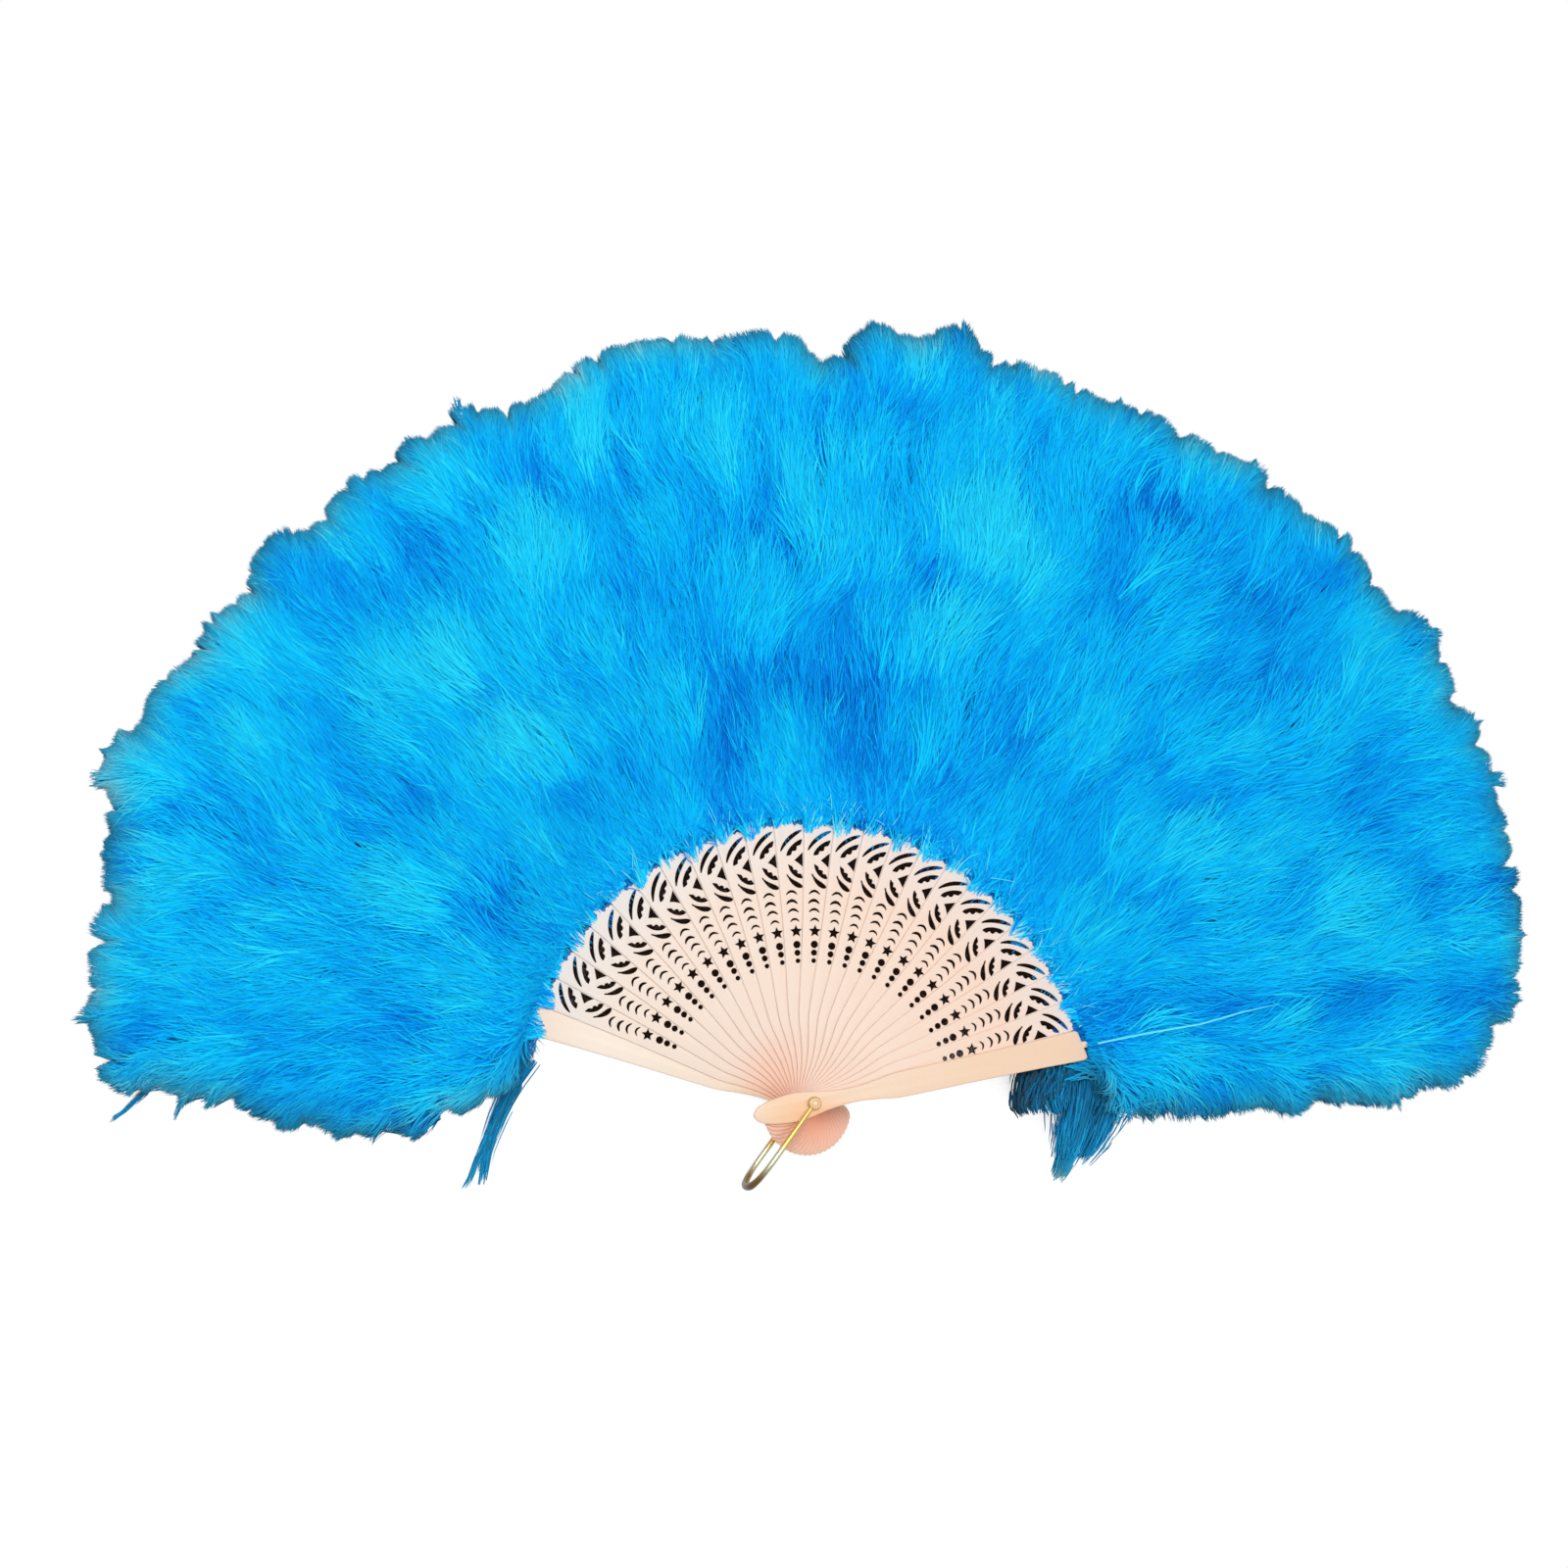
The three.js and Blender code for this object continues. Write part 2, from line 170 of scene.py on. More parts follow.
class Paint:
    """The node tree of one material."""

    def __init__(self, name):
        self.material = bpy.data.materials.new(name)
        self.material.use_nodes = True
        self.tree = self.material.node_tree
        self.tree.nodes.clear()

    def node(self, kind, settings=None, inputs=None, output=0):
        """Adds a node, sets it up, and gives or links its inputs. Returns one of its outputs."""
        made = self.tree.nodes.new(kind)
        for key, value in (settings or {}).items():
            if key == "stops":
                self.set_stops(made.color_ramp, value)
            else:
                setattr(made, key, value)
        for key, value in (inputs or {}).items():
            if isinstance(value, Wire):
                self.tree.links.new(value.socket, made.inputs[key])
            elif made.inputs[key].type == "RGBA":
                made.inputs[key].default_value = (*value[:3], 1)
            else:
                made.inputs[key].default_value = value
        return Wire(self, made.outputs[output]) if made.outputs else None

    @staticmethod
    def set_stops(ramp, stops):
        while len(ramp.elements) > 1:
            ramp.elements.remove(ramp.elements[-1])
        for index, (place, colour) in enumerate(stops):
            element = ramp.elements[0] if index == 0 else ramp.elements.new(place)
            element.position, element.color = place, (*colour, 1)

    def ramp(self, share, stops):
        return self.node("ShaderNodeValToRGB", {"stops": stops}, {0: share})

    def blend(self, share, first, second, way="MIX"):
        settings = {"data_type": "RGBA", "blend_type": way, "clamp_factor": True}
        return self.node("ShaderNodeMix", settings, {0: share, 6: first, 7: second}, output=2)

    def place(self):
        return self.node("ShaderNodeTexCoord", output="Object")

    def axis(self, vector, name):
        return self.node("ShaderNodeSeparateXYZ", inputs={0: vector}, output=name)

    def plan(self, place):
        """A place's x and y, and how far it is from the rivet's axis."""
        x, y = self.axis(place, "X"), self.axis(place, "Y")
        return x, y, (x * x + y * y) ** 0.5

    def noise(self, vector, scale, detail=3.0, roughness=0.5):
        inputs = {"Vector": vector, "Scale": scale, "Detail": detail, "Roughness": roughness}
        return self.node("ShaderNodeTexNoise", inputs=inputs)

    def bump(self, height, strength, distance):
        return self.node("ShaderNodeBump", inputs={"Height": height, "Strength": strength, "Distance": distance})

    def finish(self, **sockets):
        """Adds the shader, with its sockets named as in Blender but for spaces, and returns the material."""
        names = {key: key.replace("_", " ") for key in sockets}
        shader = self.node("ShaderNodeBsdfPrincipled", inputs={names[key]: sockets[key] for key in sockets})
        self.node("ShaderNodeOutputMaterial", inputs={"Surface": shader})
        return self.material


def linear(red, green, blue):
    """A screen colour, from 0 to 255, as the shader needs it."""
    def one(level):
        share = level / 255
        return share / 12.92 if share <= 0.04045 else ((share + 0.055) / 1.055) ** 2.4
    return (one(red), one(green), one(blue))


# Finishes


def moulded_plastic(name, blade, head, pale, tip):
    """Moulded plastic: richer in the heads, which lie deep on each other, paler at the tips, with painted light making
    it paler towards the left and painted shade left of the rivet.
    """
    paint = Paint(name)
    place = paint.place()
    x, y, reach = paint.plan(place)
    cloudy = paint.noise(place, 60, 2)
    # Painted light: the plastic is paler towards the left, as if lit more from there
    painted_light_leftward = (0.35 - x / 0.2 + 0.1 * cloudy).clamped()
    body = paint.blend(painted_light_leftward, blade, pale)
    # The heads lie below the rivet, and the necks near it are a little deeper in tone than the blades. Left of the
    # rivet, above the heads, the deeper tone is painted shade in the crevice there.
    below = ((0.004 - y) / 0.009 + 0.2 * cloudy).clamped()
    near = (1.15 - reach / 0.034).clamped()
    tipward = 0.7 * ((reach - 0.098) / 0.036).clamped()
    # Painted shade in the crevice left of the rivet, above the heads
    left = (x / -0.016).clamped()
    share = near * (0.2 + 0.45 * left * (1 - below) + 0.8 * below)
    rich = paint.blend(share, paint.blend(tipward, body, tip), head)
    grain = paint.noise(place, 900, 2)
    fleck = paint.ramp(grain, [(0.3, (0.7, 0.7, 0.7)), (0.7, (1.0, 1.0, 1.0))])
    spotted = paint.blend(0.05, rich, fleck, "MULTIPLY")
    gloss = 0.34 + 0.14 * paint.noise(place, 160, 3)
    return paint.finish(
        Base_Color=spotted, Roughness=gloss, Normal=paint.bump(grain, 0.12, 0.0002), IOR=1.49, Specular_IOR_Level=0.4)


def rivet_plastic():
    """The staves' plastic, in rings from the middle of the rivet's head to its rim."""
    paint = Paint("rivet_plastic")
    place = paint.place()
    reach = paint.plan(place)[2]
    colour = paint.ramp((reach / RIVET_RADIUS).clamped(), [
        (0.0, linear(250, 222, 192)), (0.35, linear(246, 208, 168)), (0.62, linear(226, 182, 138)),
        (0.8, linear(246, 210, 172)), (1.0, linear(242, 196, 154))])
    scuffs = paint.noise(place, 1500, 4)
    return paint.finish(
        Base_Color=colour, Roughness=0.28 + 0.2 * scuffs, Normal=paint.bump(scuffs, 0.1, 0.0002))


def bail_wire():
    """Thick brass-plated wire, with a painted reflection making it pale beyond the heads and painted shade making it
    brown at the bend.
    """
    paint = Paint("bail_wire")
    place = paint.place()
    reach = paint.plan(place)[2]
    along = (reach / 0.048 + 0.03 * paint.noise(place, 260, 3)).clamped()
    # Painted light and shade: the pale stops are a painted reflection of the white room, and the brown ones at the
    # bend are painted shade
    colour = paint.ramp(along, [
        (0.0, linear(226, 188, 108)), (0.5, linear(226, 190, 108)), (0.6, linear(212, 208, 176)),
        (0.8, linear(204, 198, 164)), (0.89, linear(150, 124, 70)), (1.0, linear(84, 60, 22))])
    drawn = paint.noise(place, 1800, 3)
    return paint.finish(
        Base_Color=colour, Metallic=0.7, Roughness=0.22 + 0.2 * drawn, Normal=paint.bump(drawn, 0.15, 0.0001))


def ribbon_cloth():
    """Narrow woven satin ribbon in the feathers' blue."""
    paint = Paint("ribbon_cloth")
    place = paint.place()
    threads = paint.node("ShaderNodeTexWave", {"wave_type": "BANDS", "bands_direction": "DIAGONAL"},
                         {"Vector": place, "Scale": 900.0, "Distortion": 1.0}, output="Fac")
    colour = paint.blend(threads, linear(14, 96, 176), linear(28, 132, 214))
    return paint.finish(Base_Color=colour, Roughness=0.5 + 0.2 * threads, Normal=paint.bump(threads, 0.3, 0.0001))


def feather_down():
    """Dyed down. The pieces' own map holds a strand's shade across it, which is partly its dye and partly painted
    light and shade, and how near it is to the rim up it.
    """
    paint = Paint("feather_down")
    own = paint.node("ShaderNodeUVMap", {"uv_map": "OFBake"})
    shade, rim = paint.axis(own, "X"), paint.axis(own, "Y")
    dye_and_painted_shading = paint.ramp(shade, [
        (0.0, linear(0, 104, 212)), (0.25, linear(0, 148, 242)), (0.5, linear(2, 188, 255)),
        (0.75, linear(10, 210, 255)), (0.92, linear(38, 224, 255)), (0.97, linear(122, 230, 252))])
    edge = paint.ramp(shade, [
        (0.0, linear(44, 66, 70)), (0.08, linear(34, 86, 100)), (0.25, linear(26, 112, 138)),
        (0.5, linear(44, 132, 160)), (0.8, linear(66, 148, 178)), (1.0, linear(164, 204, 210))])
    colour = paint.blend(rim ** 3, dye_and_painted_shading, edge)
    return paint.finish(Base_Color=colour, Roughness=0.85, Specular_IOR_Level=0.08)


def pale_floor():
    """White where only the camera looks, with a painted shadow that is dark where the fan covers it closely, as behind
    the piercing.
    """
    paint = Paint("pale_floor")
    lit = paint.node("ShaderNodeBsdfDiffuse", inputs={"Color": (0.8, 0.8, 0.8)})
    open_sky = paint.node("ShaderNodeAmbientOcclusion", {"samples": 12}, {"Distance": 0.15}, output="AO")
    x, y, reach = paint.plan(paint.place())
    # Painted shadow, from the floor's ambient occlusion: near black in a band under the sticks, and faint grey close
    # beside the fan
    band = ((134 * MM - reach) * 400).clamped() * ((reach - 56 * MM) * 200).clamped()
    under = band * ((y - (x * x) ** 0.5 * 0.25) * 400).clamped()
    painted_shadow_closed_in, beside = ((open_sky - 0.42) * 14).clamped(), ((open_sky - 0.06) * 4.5).clamped()
    painted_shadow_lightness = beside + under * (painted_shadow_closed_in - beside)
    white_with_painted_shadow = paint.node("ShaderNodeEmission", inputs={
        "Color": paint.blend(painted_shadow_lightness, (0.012, 0.006, 0.004), (1, 1, 1)), "Strength": 1.0})
    path = {way: paint.node("ShaderNodeLightPath", output=f"Is {way} Ray") for way in ("Camera", "Glossy")}
    seen = (path["Camera"] + path["Glossy"]).clamped()
    surface = paint.node("ShaderNodeMixShader", inputs={0: seen, 1: lit, 2: white_with_painted_shadow})
    paint.node("ShaderNodeOutputMaterial", inputs={"Surface": surface})
    return paint.material


def light_the_room():
    world = bpy.data.worlds.new("room")
    bpy.context.scene.world = world
    world.use_nodes = True
    tree = world.node_tree
    tree.nodes.clear()
    path = tree.nodes.new("ShaderNodeLightPath")
    light, seen = tree.nodes.new("ShaderNodeBackground"), tree.nodes.new("ShaderNodeBackground")
    for background, strength in ((light, 0.4), (seen, 1.0)):
        background.inputs["Color"].default_value = (1, 1, 1, 1)
        background.inputs["Strength"].default_value = strength
    mix, out = tree.nodes.new("ShaderNodeMixShader"), tree.nodes.new("ShaderNodeOutputWorld")
    tree.links.new(path.outputs["Is Camera Ray"], mix.inputs[0])
    tree.links.new(light.outputs[0], mix.inputs[1])
    tree.links.new(seen.outputs[0], mix.inputs[2])
    tree.links.new(mix.outputs[0], out.inputs["Surface"])
    add_lamp("key_lamp", (-0.4, 0.45, 1.7), 1.0, 16.5)
    add_lamp("fill_lamp", (0.6, 0.0, 1.5), 1.0, 5.5)
    bpy.context.scene.view_settings.view_transform = "Standard"


def add_floor():
    bpy.ops.mesh.primitive_plane_add(size=8, location=(0, 0, -0.0004))
    floor = bpy.context.active_object
    floor.name = "floor"
    floor.data.materials.append(pale_floor())


# Modelling helpers


def only(piece):
    """Makes piece the one selected object."""
    bpy.ops.object.select_all(action="DESELECT")
    piece.select_set(True)
    bpy.context.view_layer.objects.active = piece


def settle(piece, name, finish, body, nodes=()):
    """Applies the piece's place to its mesh, names and finishes it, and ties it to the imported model."""
    only(piece)
    bpy.ops.object.transform_apply(location=True, rotation=True, scale=True)
    piece.name = piece.data.name = name
    piece.data.materials.clear()
    piece.data.materials.append(finish)
    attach(piece, body)
    if nodes:
        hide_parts(*nodes)


def flat_plate(outline, holes, thickness, edge, steps):
    """A flat plate with rounded edges, cut by holes. Outline and holes are closed lines of (x, y) points."""
    curve = bpy.data.curves.new("plate", "CURVE")
    curve.dimensions, curve.fill_mode = "2D", "BOTH"
    curve.extrude, curve.bevel_depth, curve.bevel_resolution = thickness / 2 - edge, edge, steps
    curve.offset = -edge
    for line in [outline, *holes]:
        spline = curve.splines.new("POLY")
        spline.points.add(len(line) - 1)
        for point, (x, y) in zip(spline.points, line):
            point.co = (x, y, 0, 1)
        spline.use_cyclic_u = True
    plate = bpy.data.objects.new("plate", curve)
    bpy.context.scene.collection.objects.link(plate)
    only(plate)
    bpy.ops.object.convert(target="MESH")
    plate = bpy.context.active_object
    bpy.ops.object.mode_set(mode="EDIT")
    bpy.ops.mesh.select_all(action="SELECT")
    bpy.ops.mesh.remove_doubles(threshold=0.002 * MM)
    bpy.ops.mesh.normals_make_consistent(inside=False)
    bpy.ops.object.mode_set(mode="OBJECT")
    bpy.ops.object.shade_smooth_by_angle(angle=math.radians(50))
    return plate


def smooth_line(points, steps=5):
    """A Catmull-Rom line through points. A point with a third value is a sharp corner."""
    ends = [i for i, point in enumerate(points) if len(point) > 2] or [0]
    points = points[ends[0]:] + points[:ends[0]] + [points[ends[0]]]
    line = []
    for i in range(len(points) - 1):
        here, after = points[i], points[i + 1]
        before = points[i - 1] if len(here) < 3 and i else here
        beyond = points[i + 2] if len(after) < 3 and i + 2 < len(points) else after
        p = [np.array(point[:2], float) for point in (before, here, after, beyond)]
        for step in range(steps):
            t = step / steps
            line.append(0.5 * (
                2 * p[1] + (p[2] - p[0]) * t + (2 * p[0] - 5 * p[1] + 4 * p[2] - p[3]) * t * t
                + (3 * p[1] - p[0] - 3 * p[2] + p[3]) * t ** 3))
    return [tuple(point * MM) for point in line]


def circle(x, radius, count):
    turns = [2 * math.pi * step / count for step in range(count)]
    return [((x + radius * math.cos(turn)) * MM, radius * math.sin(turn) * MM) for turn in turns]


def star(x, radius):
    """A star with five points, one of them towards the tip."""
    line = []
    for corner in range(10):
        turn, reach = math.pi * corner / 5, radius * (0.46 if corner % 2 else 1)
        line.append(((x + reach * math.cos(turn)) * MM, reach * math.sin(turn) * MM))
    return line


def swept_slot(start, middle, end, width, bumps=0, steps=14, skew=1):
    """A slot along a bent line, rounded at its ends, with bumps along one of its sides if wanted.

    With a skew over 1 it thins towards its start.
    """
    p = [np.array(point, float) for point in (start, middle, end)]
    control = 2 * p[1] - (p[0] + p[2]) / 2
    sides = ([], [])
    for step in range(steps + 1):
        t = step / steps
        point = (1 - t) ** 2 * p[0] + 2 * t * (1 - t) * control + t * t * p[2]
        along = 2 * (1 - t) * (control - p[0]) + 2 * t * (p[2] - control)
        normal = np.array([-along[1], along[0]]) / np.linalg.norm(along)
        half = width / 2 * max(0.06, math.sin(math.pi * t ** skew)) ** 0.45
        notch = 1 - 0.95 * (1 - abs(math.sin(math.pi * bumps * t))) ** 1.3 if bumps else 1
        sides[0].append(point + normal * half * notch)
        sides[1].append(point - normal * half)
    return [tuple(point * MM) for point in [*sides[0], *reversed(sides[1])]]


def crescent(x, y, half_width, sag, width):
    """A thin crescent with its back towards the tip."""
    return swept_slot((x - sag, y + half_width), (x, y), (x - sag, y - half_width), width, steps=10)


# Staves

# A stave in millimetres: one side from its head to its blade, and then the blade's tip from side to side. The head's
# places are shares of its reach, and a third value marks a sharp corner.
HEAD = [(-0.97, 1.9), (-0.925, 3.2), (-0.84, 4.4), (-0.64, 5.7), (-0.34, 6.5), (-0.1, 6.0)]
NECK = [(7.9, 4.1), (19.8, 3.4), (30.4, 4.4), (38.3, 5.6)]
STICK_SIDE = [(47.5, 5.85), (79, 5.85), (105.6, 6.5), (122, 7.0)]
GUARD_SIDE = [(47.5, 5.95), (79, 6.1), (105.6, 6.5), (125, 7.0)]
STICK_TOP = [(127.5, 7.1), (131.9, 5.6, 1), (129.6, 4.1), (128.2, 2.6, 1), (129.0, 1.4), (127.6, 0.2, 1),
             (128.6, -1.2), (127.4, -2.4, 1), (128.4, -3.8), (127.6, -5.2, 1), (127.9, -6.3), (126, -6.9)]
GUARD_TOP = [(127.6, 7.0), (128.7, 6.4), (129.3, 5.2), (131.2, -4.6), (131.1, -6.2), (129.8, -7.0)]


def stave_outline(head, side, top):
    half = [(share * head, wide) for share, wide in HEAD] + NECK + side
    return smooth_line([(-head - 0.1, 0, 1), *half, *top, *[(x, -y) for x, y in reversed(half)]])


def rib_outline():
    return [(x * MM, y * MM) for x, y in [(125.5, 1.5), (225, 0.8), (225, -0.8), (125.5, -1.5)]]


def piercing():
    """The inner sticks' pattern: dots, star and crescents up the middle, swept slots across the top."""
    return [
        star(78.9, 3.0), circle(72.8, 1.72, 18), circle(69.0, 1.42, 16), circle(65.3, 1.12, 14),
        crescent(84.6, 0.3, 2.1, 1.3, 1.0), crescent(89.0, 0.7, 2.5, 1.5, 1.15),
        crescent(93.1, 1.1, 2.6, 1.6, 1.4), crescent(97.4, 1.0, 2.6, 1.6, 1.15),
        swept_slot((105.2, 2.6), (101.4, -0.4), (99.2, -4.4), 2.4, skew=1.9),
        swept_slot((109.8, 1.5), (106.0, -1.3), (103.5, -4.8), 2.8, bumps=3, skew=1.2),
        smooth_line([(111.6, -1.3, 1), (115.2, -5.5, 1), (108.3, -5.1, 1), (110.2, -3.2)], 4),
        swept_slot((120.9, -5.6), (117.3, -1.4), (113.8, 2.0), 3.0, bumps=3),
        swept_slot((125.4, -5.6), (121.4, 0.9), (116.0, 4.9), 1.9, skew=0.8),
    ]


def add_staves(plastics):
    """Each stave is its blade, cut and rounded, joined with the rib that carries its feathers."""
    guard = (GUARD_SIDE, GUARD_TOP, [], GUARD_THICKNESS, 0.55 * MM)
    for kind, staves, head, side, top, holes, thickness, edge in (
        ("stick", range(1, LAST_STAVE), 24, STICK_SIDE, STICK_TOP, piercing(), STICK_THICKNESS, 0.16 * MM),
        ("guard", [0], 24, *guard),
        ("guard", [LAST_STAVE], 28.5, *guard),
    ):
        blade = flat_plate(stave_outline(head, side, top), [circle(0, 1.5, 20), *holes], thickness, edge, 2)
        rib = flat_plate(rib_outline(), [], thickness * 0.98, 0.2 * MM, 1)
        only(blade)
        rib.select_set(True)
        bpy.ops.object.join()
        model = bpy.context.active_object
        for stave in staves:
            made = bpy.data.objects.new(f"{stave_node(stave)}_plate", model.data.copy())
            bpy.context.scene.collection.objects.link(made)
            made.location.z = stave_level(stave) + thickness / 2
            made.rotation_euler.z = stave_angle(stave)
            settle(made, f"{stave_node(stave)}_plate", plastics[kind], stave_body(stave),
                   [stave_node(stave)])
        bpy.data.objects.remove(model)


# Rivet and bail


def turned(profile):
    """A body turned about the rivet's axis from (radius, level) points, which start and end on it."""
    sides = 40
    mesh = bpy.data.meshes.new("turned")
    mesh.from_pydata([(radius, 0, level) for radius, level in profile],
                     [(i, i + 1) for i in range(len(profile) - 1)], [])
    body = bpy.data.objects.new("turned", mesh)
    bpy.context.scene.collection.objects.link(body)
    only(body)
    bpy.ops.object.mode_set(mode="EDIT")
    bpy.ops.mesh.select_all(action="SELECT")
    bpy.ops.mesh.spin(steps=sides, angle=2 * math.pi, center=(0, 0, 0), axis=(0, 0, 1))
    bpy.ops.mesh.select_all(action="SELECT")
    bpy.ops.mesh.remove_doubles(threshold=0.005 * MM)
    bpy.ops.mesh.normals_make_consistent(inside=False)
    bpy.ops.object.mode_set(mode="OBJECT")
    bpy.ops.object.shade_smooth_by_angle(angle=math.radians(40))
    return body


def add_rivet(finish):
    low, high = [corner[2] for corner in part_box("rivet_pin")[:2]]
    head = high - 1.4 * MM
    shaft, rim = 1.2 * MM, RIVET_RADIUS
    pin = turned([
        (0, low), (shaft, low), (shaft, head), (rim * 0.94, head), (rim, head + 0.15 * MM), (rim, head + 0.5 * MM),
        (rim * 0.9, head + 0.95 * MM), (rim * 0.62, head + 1.18 * MM), (rim * 0.55, head + 1.05 * MM),
        (rim * 0.46, head + 1.2 * MM), (rim * 0.2, high), (0, high)])
    settle(pin, "rivet_pin_turned", finish, "back_guard", ["rivet_pin"])
    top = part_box("rivet_cap")[1][2]
    cap = turned([
        (0, 0), (rim * 0.8, 0), (rim * 0.95, 0.1 * MM), (rim, 0.3 * MM), (rim, 0.7 * MM), (rim * 0.85, top),
        (1.5 * MM, top), (1.5 * MM, top - 0.6 * MM), (0, top - 0.6 * MM)])
    settle(cap, "rivet_cap_turned", finish, "back_guard", ["rivet_cap"])


def add_bail(finish):
    """Bent from one wire: an eye on the rivet at each end, two flared legs that thicken from the eyes, and a bend."""
    wire, eye, straight, bulge, turn = 0.8 * MM, 2.3 * MM, 31 * MM, 16.25 * MM, math.radians(-125.4)
    low, high = 2.2 * MM, 32.5 * MM
    # The legs flare by rise and drop, and thicken to thick times the wire
    rise, drop, thick = 1.1 * MM, 0.8 * MM, 1.75
    bend, middle = (high + rise - low + drop) / 2, (high + rise + low - drop) / 2
    curve = bpy.data.curves.new("bail", "CURVE")
    curve.dimensions, curve.bevel_depth, curve.bevel_resolution, curve.use_fill_caps = "3D", wire, 4, True
    steps = 28
    leg = [(eye + (straight - eye) * share, share, 1 + (thick - 1) * min(1, 1.6 * share))
           for share in np.linspace(0, 1, 9)[:-1]]
    line = [(reach, 0, high + rise * share, wide) for reach, share, wide in leg]
    for step in range(steps + 1):
        sine, cosine = math.sin(math.pi * step / steps), math.cos(math.pi * step / steps)
        level = middle + bend * math.copysign(abs(cosine) ** 0.8, cosine)
        line.append((straight + bulge * abs(sine) ** 0.8, 0, level, thick + 0.5 * sine ** 3))
    line += [(reach, 0, low - drop * share, wide) for reach, share, wide in reversed(leg)]
    rings = [[(x, y, level, 1) for x, y in circle(0, eye / MM, 24)] for level in (low, high)]
    for points, closed in ((line, False), (rings[0], True), (rings[1], True)):
        spline = curve.splines.new("POLY")
        spline.points.add(len(points) - 1)
        for point, (across, along, level, wide) in zip(spline.points, points):
            point.co, point.radius = (across, along, level, 1), wide
        spline.use_cyclic_u = closed
    bail = bpy.data.objects.new("bail", curve)
    bpy.context.scene.collection.objects.link(bail)
    bail.rotation_euler.z = turn
    only(bail)
    bpy.ops.object.convert(target="MESH")
    bail = bpy.context.active_object
    bpy.ops.object.shade_smooth_by_angle(angle=math.radians(60))
    settle(bail, "bail_bent_wire", finish, "bail", ["bail"])


# Ribbon


def add_ribbon(finish):
    """The ribbon is glued flat to the back of each stave, so it is made as one length per stave."""
    inner, width, rows, columns = 125 * MM, 4 * MM, 4, 8
    half = math.radians(STAVE_SPACING / 2)
    for stave in range(LAST_STAVE + 1):
        bpy.ops.mesh.primitive_grid_add(x_subdivisions=columns, y_subdivisions=rows, size=1)
        band = bpy.context.active_object
        level = stave_level(stave) - 0.07 * MM
        for vertex in band.data.vertices:
            across, along = vertex.co.x + 0.5, vertex.co.y + 0.5
            angle = stave_angle(stave) + (2 * across - 1) * half
            reach = inner + along * width
            ripple = 0.03 * MM * math.sin(9 * across + stave)
            vertex.co = (reach * math.cos(angle), reach * math.sin(angle), level + ripple)
        bpy.ops.object.shade_smooth()
        settle(band, f"ribbon_{stave:02d}", finish, stave_body(stave))
        if stave == 0:
            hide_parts("link_ribbon")


# Feathers

STRAND_POINTS = 5
STRAND_STEPS = np.linspace(0, 1, STRAND_POINTS)
STRAND_WIDTH = 0.62
LOCK_STRANDS = 12
PLUME_ROOT = 133 * MM
# How far a plume reaches to each side of its stave, and the guards' plumes past the open fan's ends, in degrees
HALF_PLUME, PAST_BACK_GUARD, PAST_FRONT_GUARD = 3.9, 27, 20
# The left, right, lower and upper edge of the maps over the fan, in millimetres
MAP_LEFT, MAP_RIGHT, MAP_LOW, MAP_HIGH = -370, 390, -70, 410
# The feathers' edge in millimetres, from below the back guard over the top to below the front guard
FEATHER_EDGE = [
    (-118, 24), (-136, 2), (-151, -5), (-166, -14), (-182, -23), (-187, -17), (-195, -24), (-202, -19), (-214, -21),
    (-224, -15), (-238, -18), (-264, -5), (-273, -9), (-276, -3), (-284, -9), (-285, -3), (-295, 1), (-305, -5),
    (-320, 3), (-323, 24), (-332, 31), (-325, 39), (-327, 71), (-324, 78), (-316, 82), (-321, 90), (-323, 107),
    (-318, 114), (-323, 123), (-320, 129), (-328, 135), (-328, 142), (-323, 145), (-318, 158), (-310, 159),
    (-304, 176), (-297, 186), (-286, 194), (-284, 202), (-272, 217), (-262, 226), (-262, 236), (-256, 248),
    (-247, 256), (-236, 254), (-215, 283), (-201, 286), (-193, 299), (-179, 303), (-169, 322), (-162, 317),
    (-155, 315), (-137, 320), (-129, 324), (-116, 339), (-96, 349), (-66, 355), (-52, 352), (-42, 358), (-23, 361),
    (-10, 358), (1, 346), (12, 356), (24, 368), (47, 361), (70, 372), (77, 361), (89, 352), (95, 354), (113, 349),
    (141, 336), (163, 333), (172, 329), (177, 321), (183, 323), (208, 311), (220, 310), (222, 300), (229, 299),
    (247, 284), (262, 280), (285, 244), (300, 242), (311, 233), (309, 224), (316, 212), (318, 197), (327, 195),
    (333, 176), (346, 162), (339, 151), (345, 144), (345, 132), (351, 120), (352, 88), (351, 57), (347, 46),
    (339, 42), (334, 23), (327, 18), (317, 12), (300, 11), (289, 0), (279, 3), (262, 2), (249, 6), (236, -6),
    (223, 1), (204, -3), (186, -6), (158, -4), (148, -12), (140, -6), (131, 14)]
